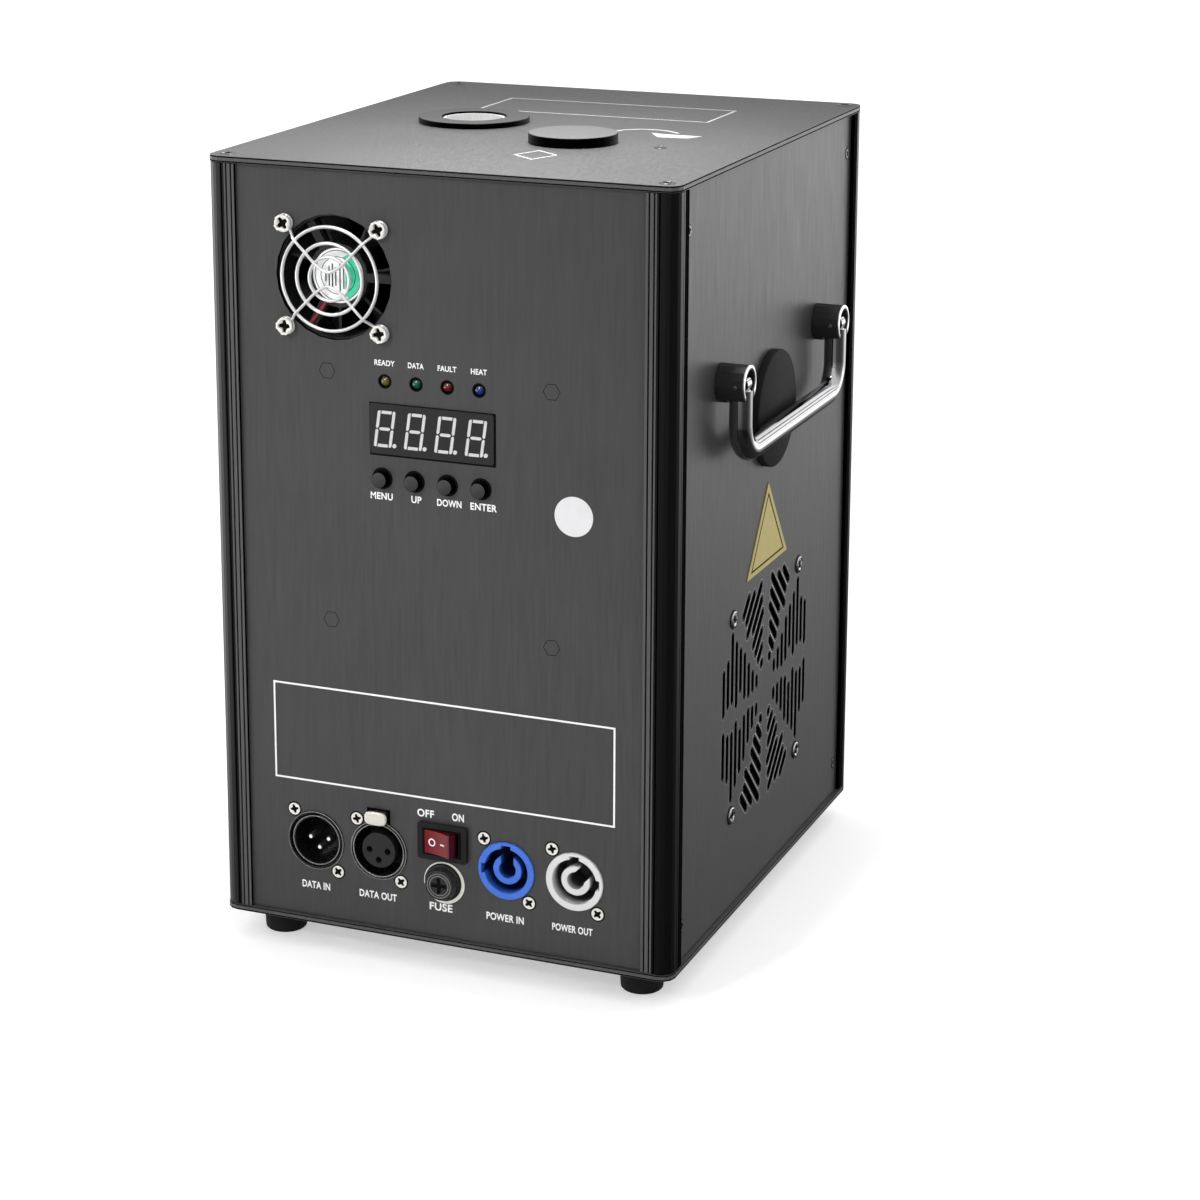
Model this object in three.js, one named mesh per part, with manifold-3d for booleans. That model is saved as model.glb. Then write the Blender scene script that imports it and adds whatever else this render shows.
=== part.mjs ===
// A cold spark machine: a bench-top effects unit in a sheet-metal case with four extruded corner posts.
// Granules fall from a hopper onto a feed screw, which pushes them into a heated tube; a blower below
// the tube lifts them, glowing, out of the nozzle in the top plate.
// Millimetres, Z up, the control panel faces -Y, the origin lies on the ground under the middle.
import * as THREE from "three";
import { mergeVertices } from "three/addons/utils/BufferGeometryUtils.js";
import Module from "manifold-3d";

const wasm = await Module();
wasm.setup();

// Clearance between neighbouring pieces, and how far a cutting tool runs past the face it cuts.
const gap = 0.3;
const overrun = 1;

// Case
const caseWidth = 193;
const caseDepth = 229;
const caseHeight = 309;
const plateThickness = 2.5;
const plateCornerRadius = 5.5;
const panelThickness = 1.5;
const panelRecess = 1.8;

// Corner posts, measured from the case's corner
const postArm = 12.3;
const postBead = 6.2;
const postGrooves = [6.9, 9, 11];
const grooveWidth = 0.7;
const grooveDepth = 0.8;
const postSlotFloor = 8.5;
const portCentre = 7.2;
const portRadius = 3.4;
const portHole = 1.5;

// Feet
const footHeight = 12;
const footTopRadius = 9;
const footBottomRadius = 8.4;
const footInset = 18.4;
const footRecessRadius = 4.5;
const footRecessDepth = 5;
const footEdge = 0.8;

// Exhaust fan and its finger guard
const exhaustX = -43.2;
const exhaustHeight = 276.9;
const exhaustSize = 50;
const exhaustDepth = 15;
const exhaustPitch = 40;
const exhaustBore = 23.6;
const exhaustHub = 12.6;
const exhaustCorner = 4;
const exhaustHole = 2.1;
const exhaustStrut = 3.4;
const exhaustStruts = 3;
const exhaustPort = 24.4;
const exhaustBlades = 7;
const guardRings = [20.1, 13.8, 8.4];
const guardWire = 0.65;
const guardRise = 3.6;
const guardCrossing = 2.8;
const eyeletRadius = 2.7;
const eyeletWire = 0.55;

// Intake fan behind the grille
const intakeHeight = 95.2;
const intakeSize = 92;
const intakeDepth = 25;
const intakePitch = 82.5;
const intakeBore = 44.3;
const intakeHub = 19;
const intakeCorner = 5;
const intakeHole = 2.2;
const intakeStrut = 5;
const intakeStruts = 4;
const intakeBlades = 7;

// Fans alike
const strutRecess = 2.3;
const strutDepth = 3;
const bladeThickness = 1.1;
const bladeTipGap = 0.7;
const rotorPin = 1.2;

// Panel lamps, display and push-buttons
const lampXs = [-22.15, -9.06, 3.92, 17.04];
const lampHeight = 238.2;
const lampRadius = 2.5;
const lampRim = 2.9;
const lampRimThickness = 1;
const displayX = -2.64;
const displayHeight = 219.6;
const displayWidth = 51.9;
const displayTall = 19.7;
const displayProud = 0.8;
const displayCorner = 0.7;
const buttonXs = [-23.7, -10.1, 3.8, 17.7];
const buttonHeight = 199.9;
const buttonRadius = 3.2;
const buttonHole = 4.3;
const buttonProud = 3.6;
const buttonFlange = 4.9;
const buttonFlangeThickness = 1;
const buttonTravel = 0.6;
const buttonEdge = 0.5;

// Display board behind the control panel
const boardWidth = 102;
const boardTop = 245.6;
const boardBottom = 135.4;
const boardThickness = 1.6;
const boardSetback = 8.5;
const standoffX = 46.6;
const standoffHeights = [240.3, 140.4];
const standoffRadius = 2.6;
const switchBody = 6;
const plungerRadius = 1.75;

// Rocker switch
const rockerX = 0.8;
const rockerHeight = 54.8;
const bezelWidth = 21;
const bezelTall = 15;
const bezelProud = 2;
const bezelCorner = 1;
const switchWidth = 19;
const switchTall = 12.8;
const switchDepth = 13;
const windowWidth = 15.4;
const windowTall = 10.1;
const windowDepth = 9.5;
const rockerTall = 9.5;
const rockerReach = 6.13;
const rockerRise = 4.8;
const rockerDish = 0.7;
const rockerFlank = 7.1;
const rockerKeel = 4.6;
const rockerPivotDepth = 2.8;
const rockerTilt = THREE.MathUtils.degToRad(15.6);
const rockerPin = 1;
const spadeWidth = 4.8;
const spadeThickness = 0.8;
const spadeLength = 7;
const spadePitch = 5.8;

// Fuse holder
const fuseX = 0.6;
const fuseHeight = 37.9;
const fuseFlange = 7.5;
const fuseFlangeProud = 1.6;
const fuseBarrel = 6.4;
const fuseBarrelDepth = 38;
const fuseBore = 4.6;
const fuseNutRadius = 8.6;
const fuseNutThickness = 3;
const capBase = 6.6;
const capFace = 5.9;
const capProud = 4.7;
const capPlugDepth = 7;
const capSlotLength = 6.8;
const capSlotWidth = 1.5;
const capSlotDepth = 1;
const cartridgeRadius = 3.15;
const cartridgeLength = 30;
const cartridgeFerrule = 5;
const cartridgeNeck = 0.25;

// Round sockets on D-shaped flanges
const socketHeight = 46.9;
const dataInX = -55.1;
const dataOutX = -27.4;
const powerInX = 27.6;
const powerOutX = 56.3;
const shellRadius = 12.15;
const shellProud = 0.8;
const flangeWidth = 26;
const flangeTall = 31;
const flangeCorner = 3;
const flangeThickness = 2;
const shellDepth = 20;
const cavityRadius = 9.5;
const cavityDepth = 14;
const stepRadius = 11.2;
const stepInner = 10.1;
const stepDepth = 1;
const pinSpread = 3.96;
const pinUpper = 0;
const pinLower = -3.96;
const pinRadius = 1.15;
const pinSetback = 2.5;
const keyWidth = 3;
const keyDepth = 1.4;
const grooveOuter = 10.7;
const insertRadius = 7.3;
const insertProud = 0.6;
const contactHole = 1.25;
const contactDepth = 8;
const latchWidth = 9.5;
const latchBottom = 11.5;
const latchTop = 17.15;
const latchProud = 3.7;
const latchThickness = 1.6;
const latchTravel = 1.4;
const latchStemWidth = 6;
const latchStemDepth = 9;
const latchCorner = 2.6;
const powerRingInner = 9.15;
const powerRadius = 11.85;
const powerProud = 0.9;
const powerCoreOuter = 6;
const powerCoreInner = 3.5;
const powerCoreSetback = 0.6;
const powerKeyWidth = 4;
const powerKeyDepth = 1.3;
const powerMouth = 5.4;

// Carrying handles, posts and bumpers, on both sides
const handleSpan = 120;
const handlePivotHeight = 237;
const handleDrop = 28;
const handleRod = 4.5;
const handleBend = 12;
const bendShare = 0.55;
const handleStand = 8.2;
const eyeRadius = 3.6;
const eyeThickness = 5;
const eyeHole = 1.5;
const cupRadius = 7.7;
const cupBore = 5.6;
const cupLength = 11.3;
const cupFloor = 1.6;
const cupSlotClearance = 0.5;
const cupPin = 1.2;
const cupStud = 2.5;
const cupStudLength = 6;
const bumperRadius = 23.8;
const bumperHeight = 213.5;
const bumperThickness = 3.4;
const bumperEdge = 0.6;

// Grille: mirrored about both of its axes, all places measured from its centre
const slotWidth = 3;
const uprightFirst = 11;
const uprightPitch = 5.07;
const uprightSpans = [
  [3, 9.2],
  [2.6, 12.8],
  [1.9, 17.4],
  [3, 23.3],
  [7.3, 26.9],
  [2.5, 31],
  [5.4, 36],
  [5.2, 25.9],
  [2.9, 23.3],
];
const chevronFirst = 17;
const chevronPitch = 7.13;
const chevronSpans = [
  [3.5, 6.5],
  [3.8, 10.5],
  [4.2, 13.9],
  [3.5, 16.9],
  [4.9, 17.6],
  [5.8, 24.5],
  [14.3, 25.8],
  [21, 29.5],
];

// Top plate: nozzle and filler
const nozzleX = -36.5;
const nozzleY = 4.7;
const nozzlePortRadius = 15;
const nozzleFlangeRadius = 22.8;
const nozzleFlangeRise = 2.3;
const nozzleFlangeChamfer = 0.4;
const nozzleBore = 13.4;
const collarLength = 9;
const tubeRadius = 12.9;
const tubeWall = 1;
const tubeTopSetback = 0.8;
const tubeFootRadius = 19;
const tubeFootThickness = 2;
const fillerX = 22;
const fillerY = -31.4;
const fillerHole = 15;
const capRadius = 17.7;
const capHeight = 4;
const capRound = 0.6;
const plugRadius = 14.6;
const plugWall = 1.6;
const plugDepth = 8;

// Inner frame: a folded bridge standing on the base plate
const deckHeight = 120;
const sheet = 1.5;
const deckLeft = -75;
const deckRight = 62;
const deckFront = -66;
const deckBack = 37.5;
const deckFoot = 14;
const windowSide = 16;
const windowSill = 14;

// Hopper below the filler
const hopperNeck = 17.4;
const hopperBody = 28;
const hopperOutlet = 8.2;
const hopperWall = 1.3;
const neckBottom = 300;
const bodyTop = 291;
const bodyBottom = 250;
const coneBottom = 208;
const outletBottom = 199;

// Feeder: its own axis runs level from the filler to the nozzle tube
const feedHeight = 190;
const feedTube = 10;
const feedBore = 7.6;
const motorPlateNear = 13.7;
const motorPlateThickness = 3;
const motorPlateRadius = 16;
const collarRadius = 10.6;
const collarBore = 8.5;
const collarTop = 204;
const pedestalNear = -4;
const pedestalFar = 16;
const pedestalWidth = 10;
const pedestalFoot = 28;
const pedestalFootThickness = 3;
const screwShaft = 2.5;
const screwFlight = 7.1;
const screwPitch = 13.6;
const screwTurns = 4;
const screwThickness = 1.4;
const sleeveRadius = 4.5;
const sleeveLength = 8;
const sleeveStart = 12;
const motorShaft = 2.2;
const gearboxLength = 20;
const canRadius = 14;
const canLength = 21;
const motorBoss = 5;
const motorBossLength = 2.5;

// Heater jacket round the nozzle tube
const heaterBottom = 207;
const heaterTop = 289;
const heaterRadius = 22.5;
const heaterBand = 1.2;
const heaterBandWidth = 8;
const heaterBands = 2;
const terminalWidth = 18;
const terminalReach = 8;
const terminalTall = 12;

// Blower below the deck
const blowerDepth = 30;
const blowerWall = 1.5;
const blowerDrop = 42;
const voluteSmall = 27;
const voluteLarge = 37;
const ductWidth = 28;
const tongueAngle = THREE.MathUtils.degToRad(110);
const inletRadius = 17.5;
const ductFlange = 5;
const impellerRadius = 24;
const impellerWidth = 20;
const impellerEye = 19;
const impellerBlades = 9;
const vaneLean = THREE.MathUtils.degToRad(14.3);
const impellerBoss = 7;

// Power supply and main board
const supplyX = 18;
const supplyWidth = 98;
const supplyFrontClearance = 3.5;
const supplyBackClearance = 4.2;
const supplyTall = 38;
const supplyVentPitch = 6;
const supplyVentWidth = 2.4;
const supplyVentLength = 40;
const supplyVentDepth = 3;
const supplyVents = 9;
const mainWidth = 120;
const mainBottom = 140;
const mainTop = 230;
const mainStandoff = 8;
const mainInset = 5;

// How finely curves are cut
const fine = 24;
const medium = 16;
const coarse = 12;
const small = 8;
const tiny = 6;
const quarter = 3;
const wireSides = 4;

// Places worked out from the sizes above
const plateTop = footHeight + caseHeight;
const panelBottom = footHeight + plateThickness + gap;
const panelTop = plateTop - plateThickness - gap;
const postHeight = panelTop - panelBottom;
const panelEdge = postSlotFloor + gap;
const panelBack = -panelThickness - gap;
const pivotOut = bezelProud - rockerPivotDepth;
const rockerProud = pivotOut + rockerRise * Math.cos(rockerTilt) + rockerReach * Math.sin(rockerTilt);
const frontReach = rockerProud - panelRecess;
const supplyBack = caseDepth / 2 - panelRecess - panelThickness - supplyBackClearance;
const supplyFront = deckBack + supplyFrontClearance;

// Finishes
const finish = (color, roughness, metalness) =>
  new THREE.MeshStandardMaterial({ color, roughness, metalness });
const blackPaint = finish(0x2b2c2d, 0.6, 0.2);
const topPaint = finish(0x333435, 0.55, 0.2);
const anodised = finish(0x121314, 0.35, 0.6);
const blackPlastic = finish(0x0c0c0d, 0.45, 0);
const blackRubber = finish(0x111111, 0.85, 0);
const chrome = finish(0xd8d9da, 0.12, 1);
const brightSteel = finish(0xc4c5c4, 0.3, 1);
const rawSteel = finish(0x8f9193, 0.45, 1);
const zincSheet = finish(0xa7abad, 0.4, 0.9);
const boardGreen = finish(0x1d5a33, 0.5, 0);
const displayGrey = finish(0x2e2f31, 0.4, 0);
const amberLens = finish(0x8a7a22, 0.2, 0);
const greenLens = finish(0x0d6b4a, 0.2, 0);
const redLens = finish(0x7d1421, 0.2, 0);
const blueLens = finish(0x163f8f, 0.2, 0);
const redRocker = finish(0xa0202c, 0.25, 0);
const blueShell = finish(0x2f6fdc, 0.4, 0);
const greyShell = finish(0xd5d6d7, 0.4, 0);
const mica = finish(0xb79a62, 0.7, 0);
const glass = finish(0xdfe6e8, 0.1, 0);

// Geometry helpers: outlines are lists of points, bodies are closed solids that can be joined and cut
const at = (x, y) => new THREE.Vector2(x, y);

function arc(x, y, radius, from, to, steps) {
  const points = [];
  for (let i = 0; i <= steps; i++) {
    const angle = from + ((to - from) * i) / steps;
    points.push(at(x + radius * Math.cos(angle), y + radius * Math.sin(angle)));
  }
  return points;
}

const circle = (x, y, radius, sides) => arc(x, y, radius, 0, 2 * Math.PI, sides).slice(0, -1);

function roundedBox(x, y, width, height, radius, steps = quarter) {
  const points = [];
  const insetX = width / 2 - radius;
  const insetY = height / 2 - radius;
  [[1, 1], [-1, 1], [-1, -1], [1, -1]].forEach(([sx, sy], turn) => {
    const from = (turn * Math.PI) / 2;
    points.push(...arc(x + sx * insetX, y + sy * insetY, radius, from, from + Math.PI / 2, steps));
  });
  return points;
}

const box = (x, y, width, height) => [
  at(x - width / 2, y - height / 2),
  at(x + width / 2, y - height / 2),
  at(x + width / 2, y + height / 2),
  at(x - width / 2, y + height / 2),
];

function toBody(geometry) {
  const bare = geometry.index ? geometry.toNonIndexed() : geometry.clone();
  bare.deleteAttribute("normal");
  bare.deleteAttribute("uv");
  const merged = mergeVertices(bare);
  const vertProperties = merged.attributes.position.array;
  const triVerts = new Uint32Array(merged.index.array);
  return new wasm.Manifold(new wasm.Mesh({ numProp: 3, vertProperties, triVerts }));
}

function toGeometry(body) {
  const { vertProperties, triVerts } = body.getMesh();
  const geometry = new THREE.BufferGeometry();
  geometry.setAttribute("position", new THREE.BufferAttribute(vertProperties, 3));
  geometry.setIndex(new THREE.BufferAttribute(triVerts, 1));
  geometry.computeVertexNormals();
  return geometry;
}

const join = (...bodies) => bodies.reduce((sum, body) => sum.add(body));
const cut = (body, ...tools) => tools.reduce((rest, tool) => rest.subtract(tool), body);

// An outline pushed from one height to another, less its holes.
function pushed(outline, low, high, holes = []) {
  const shape = new THREE.Shape(outline);
  const geometry = new THREE.ExtrudeGeometry(shape, { depth: high - low, bevelEnabled: false });
  const body = toBody(geometry.translate(0, 0, low));
  return cut(body, ...holes.map((hole) => pushed(hole, low - overrun, high + overrun)));
}

// A profile of [radius, height] pairs turned about the upright axis; a ring's profile closes on itself.
function turned(profile, sides, ring = false) {
  let points = profile.map(([radius, height]) => at(radius, height));
  if (THREE.ShapeUtils.area(points) < 0) points.reverse();
  if (ring) points = [...points, points[0]];
  return toBody(new THREE.LatheGeometry(points, sides).rotateX(Math.PI / 2));
}

// The corner radius of a many-sided hole whose flats still clear a round piece.
const around = (radius, sides) => radius / Math.cos(Math.PI / sides);

const rod = (radius, low, high, sides) =>
  turned([[0, low], [radius, low], [radius, high], [0, high]], sides);

const block = (x, y, z, width, depth, height) =>
  toBody(new THREE.BoxGeometry(width, depth, height).translate(x, y, z + height / 2));

// A round wire bent along a path.
function wire(path, radius, steps, sides) {
  const section = new THREE.Shape(circle(0, 0, radius, sides));
  return toBody(new THREE.ExtrudeGeometry(section, { steps, extrudePath: path, bevelEnabled: false }));
}

const hoop = (radius, wireRadius, sides, steps) =>
  toBody(new THREE.TorusGeometry(radius, wireRadius, sides, steps));

// A skin over rows of four corners each, closed at both ends; opposite sides are split along the
// same diagonal, so that a thin twisted plate keeps its thickness.
function skinned(rows) {
  const corners = rows.flat();
  const faces = [];
  const quad = (a, b, c, d) => faces.push(a, b, c, a, c, d);
  for (let row = 0; row + 1 < rows.length; row++) {
    for (let side = 0; side < 4; side++) {
      const next = (side + 1) % 4;
      const loop = [row * 4 + side, row * 4 + next, row * 4 + 4 + next, row * 4 + 4 + side];
      if (side > 1) loop.push(loop.shift());
      quad(...loop);
    }
  }
  const last = rows.length * 4 - 4;
  quad(3, 2, 1, 0);
  quad(last, last + 1, last + 2, last + 3);
  const geometry = new THREE.BufferGeometry().setFromPoints(corners);
  geometry.setIndex(faces);
  const body = toBody(geometry);
  if (body.volume() > 0) return body;
  geometry.setIndex(faces.reverse());
  return toBody(geometry);
}

// Scene graph
const machine = new THREE.Group();
machine.position.y = frontReach / 2;

function place(parent, name, body, material, x = 0, y = 0, z = 0) {
  const mesh = new THREE.Mesh(toGeometry(body), material);
  mesh.name = name;
  mesh.position.set(x, y, z);
  parent.add(mesh);
  return mesh;
}

// A wall's own frame: x along the wall, y up from the ground, z out of the panel's face.
function wall(turn, reach) {
  const group = new THREE.Group();
  group.rotation.set(Math.PI / 2, 0, turn, "ZYX");
  const outward = reach - panelRecess;
  group.position.set(outward * Math.sin(turn), -outward * Math.cos(turn), 0);
  machine.add(group);
  return group;
}

const front = wall(0, caseDepth / 2);
const right = wall(Math.PI / 2, caseWidth / 2);
const back = wall(Math.PI, caseDepth / 2);
const left = wall(-Math.PI / 2, caseWidth / 2);

// Top and base plates: one rounded outline, the top one bored for the nozzle and the filler
function plates() {
  const outline = roundedBox(0, 0, caseWidth, caseDepth, plateCornerRadius);
  const ports = [
    circle(nozzleX, nozzleY, nozzlePortRadius, medium),
    circle(fillerX, fillerY, fillerHole, medium),
  ];
  place(machine, "top_plate", pushed(outline, plateTop - plateThickness, plateTop, ports), topPaint);
  place(machine, "base_plate", pushed(outline, footHeight, footHeight + plateThickness), blackPaint);
}

// One arm of the post's section, from the bead to the screw port; its mirror image is the other arm
function postArmOutline() {
  const lip = panelRecess - gap;
  const slotEnd = lip + panelThickness + 2 * gap;
  const port = portRadius * Math.SQRT1_2;
  const points = [];
  for (const centre of postGrooves) {
    points.push(at(centre - grooveWidth / 2, 0), at(centre, grooveDepth), at(centre + grooveWidth / 2, 0));
  }
  points.push(at(postArm, 0), at(postArm, lip), at(postSlotFloor, lip), at(postSlotFloor, slotEnd));
  points.push(at(postArm, slotEnd), at(postArm, portCentre - port));
  return points;
}

// Corner posts: extrusions with a round bead, fine grooves, a slot for each panel and a screw port
function cornerPosts() {
  const arm = postArmOutline();
  const mirrored = arm.map((p) => at(p.y, p.x)).reverse();
  const bead = arc(postBead, postBead, postBead, Math.PI, 1.5 * Math.PI, 2 * quarter);
  const port = arc(portCentre, portCentre, portRadius, -Math.PI / 4, (3 * Math.PI) / 4, quarter);
  const hole = circle(portCentre, portCentre, portHole, tiny);
  const outline = [...bead, ...arm, ...port, ...mirrored];
  const names = ["front_left", "front_right", "back_right", "back_left"];
  names.forEach((name, turn) => {
    const sx = turn === 0 || turn === 3 ? -1 : 1;
    const sy = turn < 2 ? -1 : 1;
    const post = place(machine, `corner_post_${name}`, pushed(outline, 0, postHeight, [hole]), anodised);
    post.rotation.z = (turn * Math.PI) / 2;
    post.position.set((sx * caseWidth) / 2, (sy * caseDepth) / 2, panelBottom);
  });
}

// Rubber feet: tapered discs with a screw recess from below
function feet() {
  const top = footHeight - gap;
  const profile = [
    [0, footRecessDepth],
    [footRecessRadius, footRecessDepth],
    [footRecessRadius, 0],
    [footBottomRadius - footEdge, 0],
    [footBottomRadius, footEdge],
    [footTopRadius, top],
    [0, top],
  ];
  for (const [name, sx, sy] of [
    ["front_left", -1, -1],
    ["front_right", 1, -1],
    ["back_right", 1, 1],
    ["back_left", -1, 1],
  ]) {
    const x = sx * (caseWidth / 2 - footInset);
    const y = sy * (caseDepth / 2 - footInset);
    place(machine, `foot_${name}`, turned(profile, coarse), blackRubber, x, y);
  }
}

// The data outlet's hole: a circle with a notch on top for the release tab
function keyedHole(x, y, radius, notchHalf, notchTop) {
  const lean = Math.asin(notchHalf / radius);
  const round = arc(x, y, radius, Math.PI / 2 + lean, 2.5 * Math.PI - lean, medium);
  return [...round, at(x + notchHalf, y + notchTop), at(x - notchHalf, y + notchTop)];
}

const wallOutline = (width) => box(0, (panelBottom + panelTop) / 2, width - 2 * panelEdge, postHeight);

// Control panel: one sheet with every cut-out of the front
function controlPanel() {
  const holes = [
    circle(exhaustX, exhaustHeight, exhaustPort, fine),
    ...lampXs.map((x) => circle(x, lampHeight, lampRadius + gap, small)),
    box(displayX, displayHeight, displayWidth + 2 * gap, displayTall + 2 * gap),
    ...buttonXs.map((x) => circle(x, buttonHeight, buttonHole, coarse)),
    box(rockerX, rockerHeight, switchWidth + 2 * gap, switchTall + 2 * gap),
    circle(fuseX, fuseHeight, fuseBarrel + gap, coarse),
    circle(dataInX, socketHeight, shellRadius + gap, medium),
    keyedHole(dataOutX, socketHeight, shellRadius + gap, latchWidth / 2 + gap, latchTop + gap),
    circle(powerInX, socketHeight, powerRadius + gap, medium),
    circle(powerOutX, socketHeight, powerRadius + gap, medium),
  ];
  place(front, "control_panel", pushed(wallOutline(caseWidth), -panelThickness, 0, holes), blackPaint);
}

// A grille slot between two points, with round ends
function slot(ax, ay, bx, by) {
  const along = Math.atan2(by - ay, bx - ax);
  const radius = slotWidth / 2;
  const shiftX = radius * Math.cos(along);
  const shiftY = radius * Math.sin(along);
  const nearEnd = arc(ax + shiftX, ay + shiftY, radius, along + Math.PI / 2, along + 1.5 * Math.PI, 2);
  const farEnd = arc(bx - shiftX, by - shiftY, radius, along - Math.PI / 2, along + Math.PI / 2, 2);
  return [...nearEnd, ...farEnd];
}

// Grille slots: upright ones fan out to both sides, slanted ones stack above and below the centre
function grilleSlots() {
  const slots = [];
  for (const sx of [-1, 1]) {
    for (const sy of [-1, 1]) {
      uprightSpans.forEach(([low, high], i) => {
        const x = sx * (uprightFirst + i * uprightPitch);
        slots.push(slot(x, intakeHeight + sy * low, x, intakeHeight + sy * high));
      });
      chevronSpans.forEach(([inner, outer], k) => {
        const crest = chevronFirst + k * chevronPitch;
        const innerY = intakeHeight + sy * (crest - inner);
        const outerY = intakeHeight + sy * (crest - outer);
        slots.push(slot(sx * inner, innerY, sx * outer, outerY));
      });
    }
  }
  return slots;
}

const studHoles = () =>
  [-1, 1].map((s) => circle((s * handleSpan) / 2, handlePivotHeight, cupStud + gap, small));

// Right, left and back panels: the right one carries the grille
function plainPanels() {
  const side = wallOutline(caseDepth);
  const rightHoles = [...grilleSlots(), ...studHoles()];
  place(right, "right_panel", pushed(side, -panelThickness, 0, rightHoles), blackPaint);
  place(left, "left_panel", pushed(side, -panelThickness, 0, studHoles()), blackPaint);
  place(back, "back_panel", pushed(wallOutline(caseWidth), -panelThickness, 0), blackPaint);
}

// A fan's square frame with the stator hub on struts at its front face, z = 0 and the depth behind it
function fanFrame(size, corner, depth, bore, pitch, hole, hub, strut, struts) {
  const holes = [circle(0, 0, bore, fine)];
  for (const sx of [-1, 1]) {
    for (const sy of [-1, 1]) holes.push(circle((sx * pitch) / 2, (sy * pitch) / 2, hole, tiny));
  }
  const rim = pushed(roundedBox(0, 0, size, size, corner, 2), -depth, 0, holes);
  const frontFace = -strutRecess;
  let spider = rod(hub, frontFace - strutDepth, frontFace, medium);
  const reach = bore + gap - hub + strutDepth;
  for (let i = 0; i < struts; i++) {
    const arm = toBody(
      new THREE.BoxGeometry(reach, strut, strutDepth)
        .translate(hub - strutDepth + reach / 2, 0, frontFace - strutDepth / 2)
        .rotateZ((2 * Math.PI * i) / struts),
    );
    spider = join(spider, arm);
  }
  const seat = rod(rotorPin + gap, frontFace - strutDepth - overrun, frontFace - 1.5 * rotorPin, tiny);
  return cut(join(rim, spider), seat);
}

// One fan blade: a slanted plate that turns a little and grows wider towards its tip
function fanBlade(inner, outer, low, high, turn) {
  const rows = [];
  const steps = 2;
  const rootShare = 0.62;
  for (let i = 0; i <= steps; i++) {
    const share = i / steps;
    const radius = inner + (outer - inner) * share;
    const sweep = turn * (rootShare + (1 - rootShare) * share);
    const lead = sweep / 2;
    const half = bladeThickness / 2 / radius;
    const corner = (angle, z) =>
      new THREE.Vector3(radius * Math.cos(angle), radius * Math.sin(angle), z);
    rows.push([
      corner(lead - half, high),
      corner(lead + half, high),
      corner(-lead + half, low),
      corner(-lead - half, low),
    ]);
  }
  return skinned(rows);
}

// A fan's rotor behind the stator hub: cup, pin and blades
function fanRotor(depth, bore, hub, blades) {
  const high = -strutRecess - strutDepth - 2 * gap;
  const low = -depth + gap;
  let rotor = rod(hub, low, high, coarse);
  rotor = join(rotor, rod(rotorPin, high - overrun, -strutRecess - 1.5 * rotorPin - gap, tiny));
  const chord = high - low - 2 * gap;
  const turn = chord / bore;
  for (let i = 0; i < blades; i++) {
    const blade = fanBlade(hub - 2 * bladeThickness, bore - bladeTipGap, low + gap, high - gap, turn);
    rotor = join(rotor, blade.rotate([0, 0, (360 * i) / blades]));
  }
  return rotor;
}

// Exhaust fan: its hub shows through the guard
function exhaustFan() {
  const frame = fanFrame(
    exhaustSize,
    exhaustCorner,
    exhaustDepth,
    exhaustBore,
    exhaustPitch,
    exhaustHole,
    exhaustHub,
    exhaustStrut,
    exhaustStruts,
  );
  const rotor = fanRotor(exhaustDepth, exhaustBore, exhaustHub, exhaustBlades);
  place(front, "exhaust_fan_frame", frame, blackPlastic, exhaustX, exhaustHeight, panelBack);
  place(front, "exhaust_fan_rotor", rotor, blackPlastic, exhaustX, exhaustHeight, panelBack);
}

// Intake fan: struts on the inside, rotor towards the grille
function intakeFan() {
  const frame = fanFrame(
    intakeSize,
    intakeCorner,
    intakeDepth,
    intakeBore,
    intakePitch,
    intakeHole,
    intakeHub,
    intakeStrut,
    intakeStruts,
  );
  const holder = new THREE.Group();
  holder.rotation.y = Math.PI;
  holder.position.set(0, intakeHeight, panelBack - intakeDepth);
  right.add(holder);
  const rotor = fanRotor(intakeDepth, intakeBore, intakeHub, intakeBlades);
  place(holder, "intake_fan_frame", frame, blackPlastic);
  place(holder, "intake_fan_rotor", rotor, blackPlastic);
}

// A guard wire from one eyelet over the rings to the middle and out to the next eyelet
function guardCross(sy) {
  const corner = exhaustPitch / 2;
  const start = corner - eyeletRadius * Math.SQRT1_2;
  const top = guardRise + guardWire + eyeletWire / 2;
  const foot = gap + eyeletWire;
  const shoulder = (start + guardRings[0] * Math.SQRT1_2) / 2;
  const vertex = guardCrossing / 2;
  const half = [
    [start, start, foot],
    [shoulder, shoulder, (foot + top) / 2],
    [guardRings[0] * Math.SQRT1_2, guardRings[0] * Math.SQRT1_2, top],
    [guardRings[1] * Math.SQRT1_2, guardRings[1] * Math.SQRT1_2, top],
    [guardCrossing, guardCrossing + vertex, top],
  ];
  const points = half.map(([x, y, z]) => new THREE.Vector3(-x, sy * y, z));
  points.push(new THREE.Vector3(0, sy * guardCrossing, top));
  points.push(...half.map(([x, y, z]) => new THREE.Vector3(x, sy * y, z)).reverse());
  const path = new THREE.CatmullRomCurve3(points, false, "centripetal");
  return wire(path, eyeletWire, medium, wireSides);
}

// Finger guard: three rings welded under two bent wires, with an eyelet at each screw
function fanGuard() {
  const bodies = guardRings.map((radius) =>
    hoop(radius, guardWire, wireSides, fine).translate([0, 0, guardRise]),
  );
  for (const sx of [-1, 1]) {
    for (const sy of [-1, 1]) {
      const eyelet = hoop(eyeletRadius, eyeletWire, wireSides, small);
      const corner = exhaustPitch / 2;
      bodies.push(eyelet.translate([sx * corner, sy * corner, gap + eyeletWire]));
    }
  }
  bodies.push(guardCross(1), guardCross(-1));
  place(front, "fan_guard", join(...bodies), chrome, exhaustX, exhaustHeight);
}

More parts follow.
